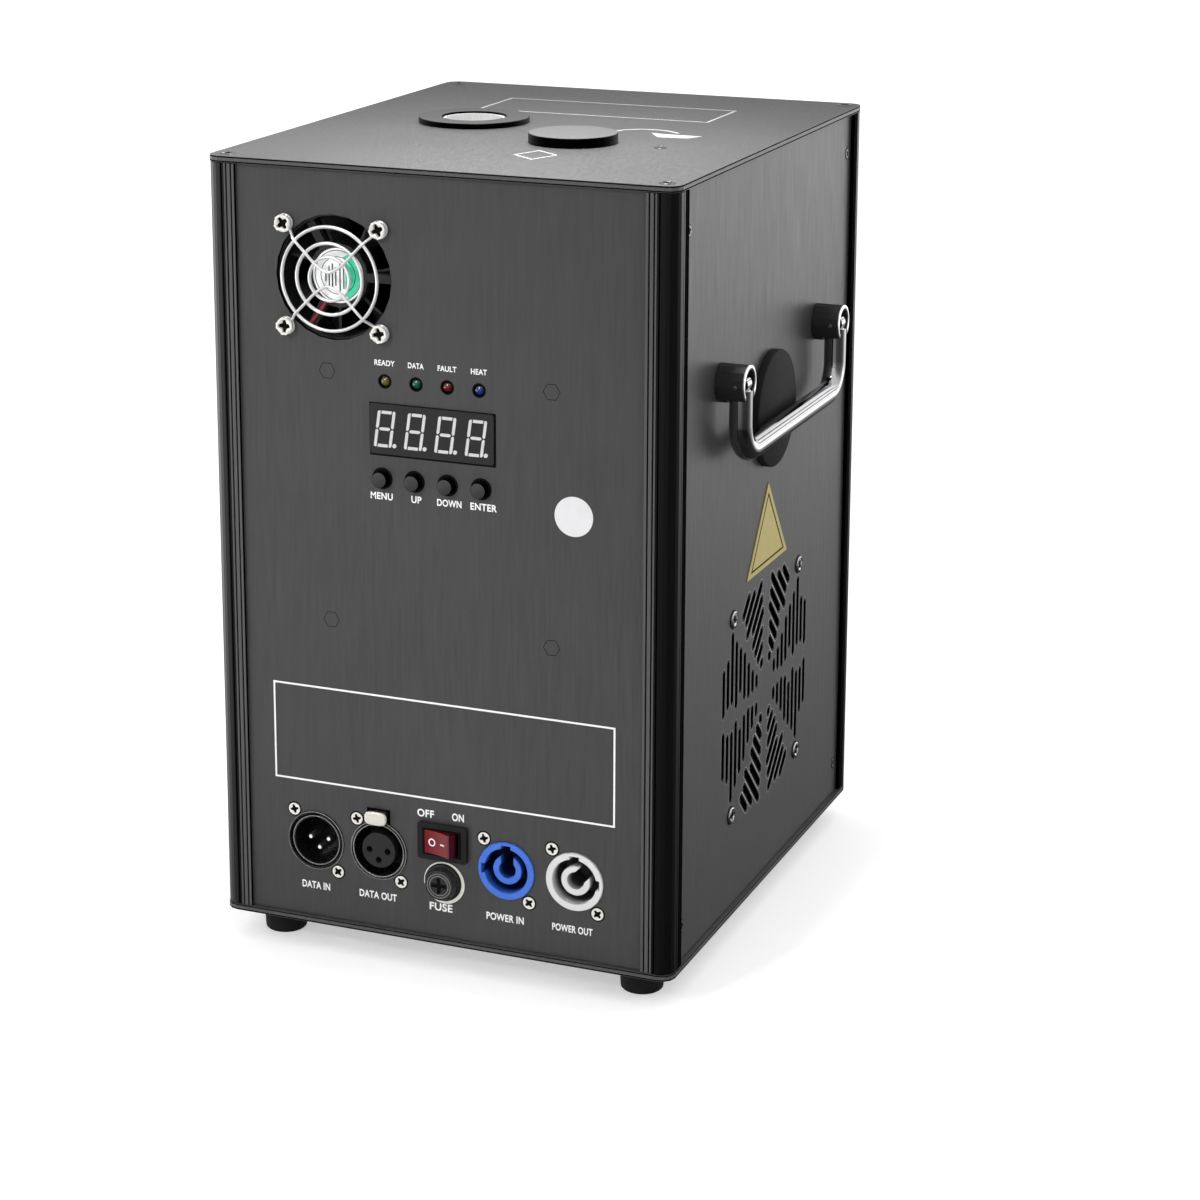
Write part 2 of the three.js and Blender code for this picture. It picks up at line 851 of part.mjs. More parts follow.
// Panel lamps: domed lenses whose rims stand on the display board
function lamps() {
  const lenses = [amberLens, greenLens, redLens, blueLens];
  const names = ["ready", "signal", "fault", "heat"];
  const foot = -boardSetback + gap;
  const dome = arc(0, 0, lampRadius, 0, Math.PI / 2, quarter).map((p) => [p.x, p.y + gap - lampRadius]);
  lampXs.forEach((x, i) => {
    const profile = [
      [0, foot],
      [lampRim, foot],
      [lampRim, foot + lampRimThickness],
      [lampRadius, foot + lampRimThickness],
      ...dome.slice(0, -1),
      [0, gap],
    ];
    place(front, `lamp_${names[i]}`, turned(profile, small), lenses[i], x, lampHeight);
  });
}

// Numeric display: a potted block that stands a little proud of the panel
function display() {
  const outline = roundedBox(0, 0, displayWidth, displayTall, displayCorner, 1);
  const body = pushed(outline, -boardSetback + gap, displayProud);
  place(front, "display_module", body, displayGrey, displayX, displayHeight);
}

const buttonBack = panelBack - buttonFlangeThickness - gap;

// Push-buttons: round caps held behind the panel by a flange
function buttons() {
  const names = ["menu", "up", "down", "enter"];
  const profile = [
    [0, buttonBack],
    [buttonRadius, buttonBack],
    [buttonRadius, panelBack - buttonFlangeThickness],
    [buttonFlange, panelBack - buttonFlangeThickness],
    [buttonFlange, panelBack],
    [buttonRadius, panelBack],
    [buttonRadius, buttonProud - buttonEdge],
    [buttonRadius - buttonEdge, buttonProud],
    [0, buttonProud],
  ];
  buttonXs.forEach((x, i) => {
    place(front, `button_${names[i]}`, turned(profile, coarse), blackPlastic, x, buttonHeight);
  });
}

// Display board: stands on four studs of the panel and carries the key switches
function displayBoard() {
  const face = -boardSetback;
  const underside = face - boardThickness;
  const middle = (boardTop + boardBottom) / 2;
  const sheetBody = pushed(box(0, middle, boardWidth, boardTop - boardBottom), underside, face);
  const plungerTop = buttonBack - buttonTravel - gap;
  const switchTop = (plungerTop + face) / 2;
  const bodies = [sheetBody];
  for (const x of buttonXs) {
    bodies.push(pushed(box(x, buttonHeight, switchBody, switchBody), face - gap, switchTop));
    bodies.push(rod(plungerRadius, face - gap, plungerTop, tiny).translate([x, buttonHeight, 0]));
  }
  for (const y of standoffHeights) {
    for (const x of [-standoffX, standoffX]) {
      bodies.push(rod(standoffRadius, face - gap, panelBack, tiny).translate([x, y, 0]));
    }
  }
  const chip = 4 * boardThickness;
  const chipY = middle - chip * 2;
  bodies.push(pushed(box(-chip, chipY, 3 * chip, 2 * chip), underside - boardThickness, underside + gap));
  bodies.push(pushed(box(4 * chip, chipY, 2 * chip, 4 * chip), underside - 2 * chip, underside + gap));
  place(front, "display_board", join(...bodies), boardGreen);
}

// Rocker switch housing: bezel, body with an open window, pivot pin and spade terminals
function switchHousing() {
  const bezel = pushed(roundedBox(0, 0, bezelWidth, bezelTall, bezelCorner), gap, bezelProud);
  const body = pushed(box(0, 0, switchWidth, switchTall), -switchDepth, gap + panelThickness / 2);
  const window = pushed(box(0, 0, windowWidth, windowTall), bezelProud - windowDepth, bezelProud + overrun);
  const pin = rod(rockerPin, -windowTall / 2 - gap, windowTall / 2 + gap, small).rotate([90, 0, 0]);
  const bodies = [cut(join(bezel, body), window), pin.translate([0, 0, pivotOut])];
  for (const side of [-1, 0, 1]) {
    const spade = box(side * spadePitch, 0, spadeThickness, spadeWidth);
    bodies.push(pushed(spade, -switchDepth - spadeLength, -switchDepth + gap));
  }
  place(front, "switch_housing", join(...bodies), blackPlastic, rockerX, rockerHeight);
}

// Rocker: a dished face over a rounded keel, hung on the pin and resting with its right end raised
function switchRocker() {
  const dish = [];
  const steps = 6;
  for (let i = 0; i <= steps; i++) {
    const share = (2 * i) / steps - 1;
    dish.push(at(-share * rockerReach, rockerRise - rockerDish * (1 - share * share)));
  }
  const outline = [
    ...dish,
    at(-rockerFlank, 0),
    ...arc(0, 0, rockerKeel, 1.2 * Math.PI, 1.8 * Math.PI, quarter),
    at(rockerFlank, 0),
  ];
  const bore = circle(0, 0, rockerPin + gap, small);
  const body = pushed(outline.reverse(), -rockerTall / 2, rockerTall / 2, [bore]);
  const group = new THREE.Group();
  group.position.set(rockerX, rockerHeight, pivotOut);
  group.rotation.y = -rockerTilt;
  front.add(group);
  place(group, "switch_rocker", body.rotate([90, 0, 0]), redRocker);
}

// Fuse holder: flanged barrel with its nut behind the panel
function fuseHolder() {
  const bottom = -fuseBarrelDepth;
  const profile = [
    [0, bottom],
    [fuseBarrel, bottom],
    [fuseBarrel, gap],
    [fuseFlange, gap],
    [fuseFlange, fuseFlangeProud - gap],
    [fuseFlange - gap, fuseFlangeProud],
    [fuseBore, fuseFlangeProud],
    [fuseBore, -cartridgeLength - cartridgeFerrule],
    [0, -cartridgeLength - cartridgeFerrule],
  ];
  const nut = pushed(circle(0, 0, fuseNutRadius, tiny), panelBack - fuseNutThickness, panelBack);
  const bore = rod(fuseBarrel - gap, panelBack - 2 * fuseNutThickness, overrun, coarse);
  const body = join(turned(profile, coarse), cut(nut, bore));
  place(front, "fuse_holder", body, blackPlastic, fuseX, fuseHeight);
}

const cartridgeTop = -capPlugDepth / 2;

// Fuse cartridge: a tube with two ferrules
function fuseCartridge() {
  const bottom = cartridgeTop - cartridgeLength;
  const neck = cartridgeRadius - cartridgeNeck;
  const profile = [
    [0, bottom],
    [cartridgeRadius, bottom],
    [cartridgeRadius, bottom + cartridgeFerrule],
    [neck, bottom + cartridgeFerrule],
    [neck, cartridgeTop - cartridgeFerrule],
    [cartridgeRadius, cartridgeTop - cartridgeFerrule],
    [cartridgeRadius, cartridgeTop],
    [0, cartridgeTop],
  ];
  place(front, "fuse_cartridge", turned(profile, small), glass, fuseX, fuseHeight);
}

// Fuse cap: tapered knob with a cross slot, its plug grips the cartridge
function fuseCap() {
  const seat = fuseFlangeProud + gap;
  const profile = [
    [0, cartridgeTop + gap],
    [cartridgeRadius + gap, cartridgeTop + gap],
    [cartridgeRadius + gap, -capPlugDepth],
    [fuseBore - gap, -capPlugDepth],
    [fuseBore - gap, seat],
    [capBase, seat],
    [capFace + gap, capProud - gap],
    [capFace, capProud],
    [0, capProud],
  ];
  const bars = [0, 1].map((turn) => {
    const size = turn ? [capSlotWidth, capSlotLength] : [capSlotLength, capSlotWidth];
    return pushed(box(0, 0, ...size), capProud - capSlotDepth, capProud + overrun);
  });
  place(front, "fuse_cap", cut(turned(profile, medium), ...bars), blackPlastic, fuseX, fuseHeight);
}

// The flange behind the panel that each round socket stands on, and the space it leaves for the barrel
function socketBody(profile, radius) {
  const outline = roundedBox(0, 0, flangeWidth, flangeTall, flangeCorner, 1);
  const plate = pushed(outline, panelBack - flangeThickness, panelBack);
  const room = rod(radius - gap, panelBack - 2 * flangeThickness, overrun, medium);
  return join(cut(plate, room), turned(profile, medium));
}

// Data inlet: a stepped barrel, a deep cavity with a keyway and three pins
function dataInlet() {
  const profile = [
    [0, -shellDepth],
    [shellRadius, -shellDepth],
    [shellRadius, shellProud - gap],
    [shellRadius - gap, shellProud],
    [stepRadius, shellProud],
    [stepRadius, -stepDepth],
    [stepInner, -stepDepth],
    [stepInner, 0],
    [cavityRadius, 0],
    [cavityRadius, -cavityDepth],
    [0, -cavityDepth],
  ];
  const keyway = pushed(
    box(0, cavityRadius + keyDepth / 2, keyWidth, 2 * keyDepth),
    -cavityDepth / 2,
    shellProud + overrun,
  );
  const bodies = [cut(socketBody(profile, shellRadius), keyway)];
  for (const [x, y] of [[-pinSpread, pinUpper], [pinSpread, pinUpper], [0, pinLower]]) {
    const tip = [
      [0, -cavityDepth - gap],
      [pinRadius, -cavityDepth - gap],
      [pinRadius, -pinSetback - pinRadius],
      [pinRadius / 2, -pinSetback],
      [0, -pinSetback],
    ];
    bodies.push(turned(tip, tiny).translate([x, y, 0]));
  }
  place(front, "data_inlet", join(...bodies), blackPlastic, dataInX, socketHeight);
}

// Data outlet: an insert with three contact holes inside a ring, notched on top for the tab
function dataOutlet() {
  const profile = [
    [0, -shellDepth],
    [shellRadius, -shellDepth],
    [shellRadius, shellProud - gap],
    [shellRadius - gap, shellProud],
    [grooveOuter, shellProud],
    [grooveOuter, -cavityDepth],
    [insertRadius, -cavityDepth],
    [insertRadius, insertProud],
    [0, insertProud],
  ];
  const notchBack = latchProud - latchThickness - latchTravel - gap;
  const notchOutline = box(0, latchTop, latchWidth + 2 * gap, 2 * (latchTop - latchBottom + gap));
  const notch = pushed(notchOutline, notchBack, 2 * overrun);
  const stem = box(0, latchTop, latchStemWidth + 2 * gap, 2 * (latchTop - shellRadius + keyDepth));
  const stemRoom = pushed(stem, -shellDepth - overrun, notchBack + overrun);
  const holes = [[-pinSpread, pinUpper], [pinSpread, pinUpper], [0, pinLower]].map(([x, y]) =>
    rod(contactHole, -contactDepth, insertProud + overrun, tiny).translate([x, y, 0]),
  );
  const body = cut(socketBody(profile, shellRadius), notch, stemRoom, ...holes);
  place(front, "data_outlet", body, blackPlastic, dataOutX, socketHeight);
}

// Release tab: a rounded press plate on a stem that runs back through the notch
function outletLatch() {
  const backFace = latchProud - latchThickness;
  const middle = (latchTop + latchBottom) / 2;
  const outline = roundedBox(0, middle, latchWidth, latchTop - latchBottom, latchCorner);
  const tab = pushed(outline, backFace, latchProud);
  const stemY = (latchTop + shellRadius) / 2;
  const stemSection = box(0, stemY, latchStemWidth, latchTop - shellRadius - 2 * gap);
  const stem = pushed(stemSection, backFace - latchStemDepth, backFace + gap);
  place(front, "data_outlet_latch", join(tab, stem), brightSteel, dataOutX, socketHeight);
}

// A power socket: ring with two keyways, annular well and a C-shaped core
function powerSocket(name, material, x, keys, mouth) {
  const profile = [
    [0, -shellDepth],
    [powerRadius, -shellDepth],
    [powerRadius, powerProud - gap],
    [powerRadius - gap, powerProud],
    [powerRingInner, powerProud],
    [powerRingInner, -cavityDepth],
    [powerCoreOuter, -cavityDepth],
    [powerCoreOuter, -powerCoreSetback],
    [powerCoreInner, -powerCoreSetback],
    [powerCoreInner, -cavityDepth],
    [0, -cavityDepth],
  ];
  const tools = keys.map((angle) => {
    const key = box(powerRingInner, 0, 2 * powerKeyDepth, powerKeyWidth);
    return pushed(key, -cavityDepth, powerProud + overrun).rotate([0, 0, angle]);
  });
  const opening = box(powerCoreOuter / 2 + overrun, 0, powerCoreOuter, powerMouth);
  tools.push(pushed(opening, -cavityDepth, powerProud + overrun).rotate([0, 0, mouth]));
  place(front, name, cut(socketBody(profile, powerRadius), ...tools), material, x, socketHeight);
}

// A handle post: a cup on a stud, slotted below for the leg, with the hinge pin across it
function handlePost() {
  const profile = [
    [0, -cupStudLength],
    [cupStud, -cupStudLength],
    [cupStud, gap],
    [cupRadius, gap],
    [cupRadius, cupLength],
    [cupBore, cupLength],
    [cupBore, cupFloor],
    [0, cupFloor],
  ];
  const slotBottom = handleStand - handleRod - gap;
  const slotHalf = handleRod + cupSlotClearance;
  const leg = box(0, -cupRadius, 2 * slotHalf, 2 * cupRadius);
  const body = cut(turned(profile, medium), pushed(leg, slotBottom, cupLength + overrun));
  const pin = rod(cupPin, -cupBore - gap, cupBore + gap, tiny).rotate([0, 90, 0]);
  return join(body, pin.translate([0, 0, handleStand]));
}

// A handle's rod, bent at two corners, from below one eye to below the other
function handlePath() {
  const path = new THREE.CurvePath();
  const half = handleSpan / 2;
  const start = -handleRod + gap;
  const bar = -handleDrop;
  const line = (ax, ay, bx, by) =>
    path.add(new THREE.LineCurve3(new THREE.Vector3(ax, ay, 0), new THREE.Vector3(bx, by, 0)));
  const bend = (sx) => {
    const corner = new THREE.Vector3(sx * half, bar, 0);
    const upper = new THREE.Vector3(sx * half, bar + handleBend, 0);
    const inner = new THREE.Vector3(sx * (half - handleBend), bar, 0);
    const ends = sx < 0 ? [upper, inner] : [inner, upper];
    const controls = ends.map((end) => end.clone().lerp(corner, bendShare));
    path.add(new THREE.CubicBezierCurve3(ends[0], ...controls, ends[1]));
  };
  line(-half, start, -half, bar + handleBend);
  bend(-1);
  line(-half + handleBend, bar, half - handleBend, bar);
  bend(1);
  line(half, bar + handleBend, half, start);
  return path;
}

// The bent rod as a skin over rings of points that are close together only in the bends
function handleRodBody() {
  const path = handlePath();
  const bendSteps = 5;
  const spots = path.curves.flatMap((curve) => {
    const steps = curve.isLineCurve3 ? 1 : bendSteps;
    return Array.from({ length: steps }, (_, i) => [curve.getPoint(i / steps), curve.getTangent(i / steps)]);
  });
  const last = path.curves[path.curves.length - 1];
  spots.push([last.getPoint(1), last.getTangent(1)]);
  const positions = [];
  const faces = [];
  for (const [centre, tangent] of spots) {
    const across = new THREE.Vector3(-tangent.y, tangent.x, 0);
    for (let i = 0; i < small; i++) {
      const angle = (2 * Math.PI * i) / small;
      const p = centre.clone().addScaledVector(across, handleRod * Math.cos(angle));
      positions.push(p.x, p.y, handleRod * Math.sin(angle));
    }
  }
  for (let row = 0; row + 1 < spots.length; row++) {
    for (let i = 0; i < small; i++) {
      const a = row * small + i;
      const b = row * small + ((i + 1) % small);
      faces.push(a, b, a + small, b, b + small, a + small);
    }
  }
  const end = (spots.length - 1) * small;
  for (let i = 1; i + 1 < small; i++) {
    faces.push(0, i + 1, i);
    faces.push(end, end + i, end + i + 1);
  }
  const geometry = new THREE.BufferGeometry();
  geometry.setAttribute("position", new THREE.Float32BufferAttribute(positions, 3));
  geometry.setIndex(faces);
  return toBody(geometry);
}

// Carrying handle: the bent rod with a flat eye at each end, bored for the hinge pin
function handle() {
  let body = handleRodBody();
  for (const s of [-1, 1]) {
    const reach = handleRod + gap;
    const eye = join(
      rod(eyeRadius, -eyeThickness / 2, eyeThickness / 2, coarse).rotate([0, 90, 0]),
      block(0, -reach / 2, -eyeRadius, eyeThickness, reach, 2 * eyeRadius),
    );
    const bore = rod(eyeHole, -eyeThickness, eyeThickness, tiny).rotate([0, 90, 0]);
    const x = (s * handleSpan) / 2;
    body = cut(join(body, eye.translate([x, 0, 0])), bore.translate([x, 0, 0]));
  }
  return body;
}

// Handles, their posts and the bumper that the bar rests in front of
function handles(side, name) {
  for (const [end, s] of name === "right" ? [["front", -1], ["back", 1]] : [["back", -1], ["front", 1]]) {
    const x = (s * handleSpan) / 2;
    place(side, `handle_post_${name}_${end}`, handlePost(), anodised, x, handlePivotHeight);
  }
  place(side, `handle_${name}`, handle(), chrome, 0, handlePivotHeight, handleStand);
  const profile = [
    [0, gap],
    [bumperRadius, gap],
    [bumperRadius, bumperThickness - bumperEdge],
    [bumperRadius - bumperEdge, bumperThickness],
    [0, bumperThickness],
  ];
  place(side, `bumper_${name}`, turned(profile, fine), blackRubber, 0, bumperHeight);
}

// Nozzle: a flanged collar through the top plate
function nozzleFlange() {
  const seat = plateTop + gap;
  const top = plateTop + nozzleFlangeRise;
  const collar = nozzlePortRadius - gap;
  const profile = [
    [nozzleBore, seat - collarLength],
    [collar, seat - collarLength],
    [collar, seat],
    [nozzleFlangeRadius, seat],
    [nozzleFlangeRadius, top - nozzleFlangeChamfer],
    [nozzleFlangeRadius - nozzleFlangeChamfer, top],
    [nozzleBore, top],
  ];
  place(machine, "nozzle_flange", turned(profile, fine, true), anodised, nozzleX, nozzleY);
}

const feeder = new THREE.Group();
const feedTurn = Math.atan2(nozzleY - fillerY, nozzleX - fillerX);
const feedRun = Math.hypot(nozzleX - fillerX, nozzleY - fillerY);
feeder.position.set(fillerX, fillerY, feedHeight);
feeder.rotation.z = feedTurn;
machine.add(feeder);

// Nozzle tube: a steel pipe on a foot flange, with a port where the feed screw enters
function nozzleTube() {
  const foot = deckHeight + sheet + gap;
  const top = plateTop + nozzleFlangeRise - tubeTopSetback;
  const profile = [
    [tubeRadius - tubeWall, foot],
    [tubeFootRadius, foot],
    [tubeFootRadius, foot + tubeFootThickness],
    [tubeRadius, foot + tubeFootThickness],
    [tubeRadius, top],
    [tubeRadius - tubeWall, top],
  ];
  const port = rod(feedBore, 0, -feedRun, coarse).rotate([0, 90, 0]);
  const aimed = port.rotate([0, 0, THREE.MathUtils.radToDeg(feedTurn)]).translate([0, 0, feedHeight]);
  place(machine, "nozzle_tube", cut(turned(profile, fine, true), aimed), brightSteel, nozzleX, nozzleY);
}

// Filler cap: a flat knob over a hollow plug that drops into the hopper's neck
function fillerCap() {
  const seat = plateTop + gap;
  const top = plateTop + capHeight;
  const profile = [
    [0, plateTop],
    [plugRadius - plugWall, plateTop],
    [plugRadius - plugWall, seat - plugDepth],
    [plugRadius, seat - plugDepth],
    [plugRadius, seat],
    [capRadius, seat],
    [capRadius, top - capRound],
    [capRadius - capRound, top],
    [0, top],
  ];
  place(machine, "filler_cap", turned(profile, fine), blackPlastic, fillerX, fillerY);
}

// Hopper: neck under the plate, round body, cone and outlet spout
function hopper() {
  const outer = [
    [hopperOutlet, outletBottom],
    [hopperOutlet, coneBottom],
    [hopperBody, bodyBottom],
    [hopperBody, bodyTop],
    [hopperNeck, neckBottom],
    [hopperNeck, plateTop - plateThickness - gap],
  ];
  const inner = outer.map(([radius, height]) => [radius - hopperWall, height]).reverse();
  place(machine, "hopper", turned([...outer, ...inner], coarse, true), zincSheet, fillerX, fillerY);
}

// Feed housing: bored tube with an inlet collar, motor plate and pedestal
function feedHousing() {
  const start = -motorPlateNear - motorPlateThickness;
  const along = (radius, from, to, sides) => rod(radius, from, to, sides).rotate([0, 90, 0]);
  const foot = deckHeight + sheet + gap - feedHeight;
  const centre = (pedestalNear + pedestalFar) / 2;
  const shell = join(
    along(feedTube, start, feedRun, coarse),
    along(motorPlateRadius, start, -motorPlateNear, coarse),
    rod(collarRadius, 0, collarTop - feedHeight, coarse),
    block(centre, 0, foot, pedestalFar - pedestalNear, pedestalWidth, -foot),
    block(centre, 0, foot, pedestalFoot, pedestalFoot, pedestalFootThickness),
  );
  const body = cut(
    shell,
    along(feedBore, start - overrun, feedRun + overrun, coarse),
    rod(collarBore, outletBottom - feedHeight - gap, collarTop - feedHeight + overrun, coarse),
    rod(feedBore - gap, 0, collarTop - feedHeight, coarse),
    rod(tubeRadius + gap, -tubeRadius, tubeRadius, fine).translate([feedRun, 0, 0]),
  );
  place(feeder, "feed_housing", body, rawSteel);
}

// The screw's flight: a flat ribbon wound round the shaft
function flight() {
  const rows = [];
  const stepsPerTurn = 8;
  const steps = screwTurns * stepsPerTurn;
  const inner = screwShaft - gap;
  for (let i = 0; i <= steps; i++) {
    const angle = (2 * Math.PI * i) / stepsPerTurn;
    const height = (screwPitch * i) / stepsPerTurn;
    const corner = (radius, z) => new THREE.Vector3(radius * Math.cos(angle), radius * Math.sin(angle), z);
    rows.push([
      corner(inner, height - screwThickness / 2),
      corner(screwFlight, height - screwThickness / 4),
      corner(screwFlight, height + screwThickness / 4),
      corner(inner, height + screwThickness / 2),
    ]);
  }
  return skinned(rows);
}

// Feed screw: shaft and flight with a sleeve over the motor's shaft
function feedScrew() {
  const length = screwPitch * screwTurns;
  const flightStart = -sleeveStart + sleeveLength / 2;
  const body = join(
    rod(screwShaft, -sleeveStart + sleeveLength - overrun, flightStart + length, small),
    flight().translate([0, 0, flightStart]),
    rod(sleeveRadius, -sleeveStart, -sleeveStart + sleeveLength, small),
  );
  const bore = rod(motorShaft + gap, -sleeveStart - overrun, -sleeveStart + sleeveLength - overrun, small);
  place(feeder, "feed_screw", cut(body, bore).rotate([0, 90, 0]), brightSteel);
}

// Geared motor: shaft, gearbox, can and rear boss
function feedMotor() {
  const face = -motorPlateNear - motorPlateThickness - gap;
  const canStart = face - gearboxLength;
  const end = canStart - canLength;
  const profile = [
    [0, end - motorBossLength],
    [motorBoss, end - motorBossLength],
    [motorBoss, end],
    [canRadius, end],
    [canRadius, canStart],
    [motorPlateRadius, canStart],
    [motorPlateRadius, face],
    [motorShaft, face],
    [motorShaft, -sleeveStart + sleeveLength / 2],
    [0, -sleeveStart + sleeveLength / 2],
  ];
  place(feeder, "feed_motor", turned(profile, coarse).rotate([0, 90, 0]), rawSteel);
}

// Heater jacket: a ring with clamping bands and a terminal block
function heaterJacket() {
  const outer = [[heaterRadius, heaterBottom]];
  const step = (heaterTop - heaterBottom) / heaterBands;
  for (let i = 0; i < heaterBands; i++) {
    const middle = heaterBottom + step * (i + 0.5);
    const low = middle - heaterBandWidth / 2;
    const high = middle + heaterBandWidth / 2;
    const proud = heaterRadius + heaterBand;
    outer.push([heaterRadius, low], [proud, low], [proud, high], [heaterRadius, high]);
  }
  outer.push([heaterRadius, heaterTop]);
  const hole = around(tubeRadius + gap, coarse);
  const inner = [[hole, heaterTop], [hole, heaterBottom]];
  const ring = turned([...outer, ...inner], coarse, true);
  const reach = heaterRadius + terminalReach;
  const terminalX = -(reach + tubeRadius) / 2;
  const terminalLow = heaterBottom + heaterBandWidth;
  const terminal = block(terminalX, 0, terminalLow, reach - tubeRadius, terminalWidth, terminalTall);
  const bore = rod(hole, heaterBottom - overrun, heaterTop + overrun, coarse);
  place(machine, "heater_jacket", join(ring, cut(terminal, bore)), mica, nozzleX, nozzleY);
}

// The blower's outline seen from the front: a volute that grows clockwise into an upward duct
function voluteOutline(inset) {
  const steps = medium;
  const points = [];
  for (let i = 0; i <= steps; i++) {
    const share = i / steps;
    const angle = tongueAngle + (-Math.PI - tongueAngle) * share;
    const radius = voluteSmall + (voluteLarge - voluteSmall) * share - inset;
    points.push(at(radius * Math.cos(angle), radius * Math.sin(angle)));
  }
  const duct = inset ? overrun : 0;
  points.push(at(-voluteLarge + inset, blowerDrop + duct));
  points.push(at(-voluteLarge + ductWidth - inset, blowerDrop + duct));
  return points;
}

const blowerX = nozzleX + voluteLarge - ductWidth / 2;
const blowerHeight = deckHeight - gap - blowerDrop;

const blower = new THREE.Group();
blower.rotation.x = Math.PI / 2;
blower.position.set(blowerX, nozzleY, blowerHeight);
machine.add(blower);

// Blower housing: a hollow volute with a round inlet, a motor boss and a duct flange
function blowerHousing() {
  const half = blowerDepth / 2;
  const shell = pushed(voluteOutline(0), -half, half);
  const hollow = pushed(voluteOutline(blowerWall), -half + blowerWall, half - blowerWall);
  const inlet = rod(inletRadius, 0, half + overrun, coarse);
  const ductX = -voluteLarge + ductWidth / 2;
  const flange = pushed(
    box(ductX, blowerDrop - blowerWall / 2, ductWidth + 2 * ductFlange, blowerWall),
    -half - ductFlange,
    half + ductFlange,
  );
  const duct = pushed(
    box(ductX, blowerDrop, ductWidth - 2 * blowerWall, 4 * blowerWall),
    -half + blowerWall,
    half - blowerWall,
  );
  const boss = rod(impellerBoss, -half + gap, -half + 2 * blowerWall, small);
  const axle = rod(rotorPin, -half + gap, 0, small);
  const body = join(cut(join(shell, flange), hollow, inlet, duct), boss, axle);
  place(blower, "blower_housing", body, blackPlastic);
}

// One impeller vane: a thin forward-curved strip
function vane() {
  const half = bladeThickness / 4;
  const rows = [];
  for (const [radius, angle] of [[impellerEye, 0], [impellerRadius, -vaneLean]]) {
    const side = half / radius;
    const corner = (turn, z) => new THREE.Vector3(radius * Math.cos(turn), radius * Math.sin(turn), z);
    rows.push([
      corner(angle - side, 0),
      corner(angle + side, 0),
      corner(angle + side, impellerWidth),
      corner(angle - side, impellerWidth),
    ]);
  }
  return skinned(rows);
}

// Impeller: back disc, hub, a cage of vanes and a front ring
function blowerImpeller() {
  const seat = -blowerDepth / 2 + 2 * blowerWall + gap;
  const disc = rod(impellerRadius, 0, blowerWall, coarse);
  const hub = rod(impellerBoss, 0, impellerWidth / 2, small);
  const rim = turned(
    [
      [impellerEye, impellerWidth - blowerWall],
      [impellerRadius, impellerWidth - blowerWall],
      [impellerRadius, impellerWidth],
      [impellerEye, impellerWidth],
    ],
    coarse,
    true,
  );
  let body = join(disc, hub, rim);
  for (let i = 0; i < impellerBlades; i++) {
    body = join(body, vane().rotate([0, 0, (360 * i) / impellerBlades]));
  }
  const bore = rod(rotorPin + gap, -overrun, impellerWidth, small);
  place(blower, "blower_impeller", cut(body, bore), blackPlastic, 0, 0, seat);
}

// Inner frame: a folded bridge with window openings, bored for the nozzle tube
function coreFrame() {
  const floor = footHeight + plateThickness + gap;
  const top = deckHeight + sheet;
  const section = [
    at(deckFront, top),
    at(deckFront, floor),
    at(deckFront + deckFoot, floor),
    at(deckFront + deckFoot, floor + sheet),
    at(deckFront + sheet, floor + sheet),
    at(deckFront + sheet, deckHeight),
    at(deckBack - sheet, deckHeight),
    at(deckBack - sheet, floor + sheet),
    at(deckBack - deckFoot, floor + sheet),
    at(deckBack - deckFoot, floor),
    at(deckBack, floor),
    at(deckBack, top),
  ];
  const width = deckRight - deckLeft;
  const bridge = pushed(section, 0, width).rotate([90, 0, 90]).translate([deckLeft, 0, 0]);
  const openWidth = width - 2 * windowSide;
  const openTall = deckHeight - floor - 2 * windowSill;
  const openDepth = 2 * (deckBack - deckFront);
  const centreX = (deckLeft + deckRight) / 2;
  const centreY = (deckFront + deckBack) / 2;
  const opening = block(centreX, centreY, floor + windowSill, openWidth, openDepth, openTall);
  const bore = rod(tubeRadius - tubeWall, deckHeight - overrun, top + overrun, medium);
  const body = cut(bridge, opening, bore.translate([nozzleX, nozzleY, 0]));
  place(machine, "core_frame", body, zincSheet);
}

// Power supply: a vented metal box with a terminal strip
function powerSupply() {
  const floor = footHeight + plateThickness + gap;
  const length = supplyBack - supplyFront;
  const middle = (supplyBack + supplyFront) / 2;
  const shell = block(0, 0, floor, supplyWidth, length, supplyTall);
  const vents = [];
  for (let i = 0; i < supplyVents; i++) {
    const x = (i - (supplyVents - 1) / 2) * supplyVentPitch;
    const z = floor + supplyTall - supplyVentDepth;
    vents.push(block(x, 0, z, supplyVentWidth, supplyVentLength, supplyVentDepth + overrun));
  }
  const strip = block(
    supplyWidth / 2,
    0,
    floor + supplyTall / 4,
    supplyVentPitch * 2,
    length - supplyVentPitch * 2,
    supplyTall / 4,
  );
  place(machine, "power_supply", join(cut(shell, ...vents), strip), zincSheet, supplyX, middle);
}

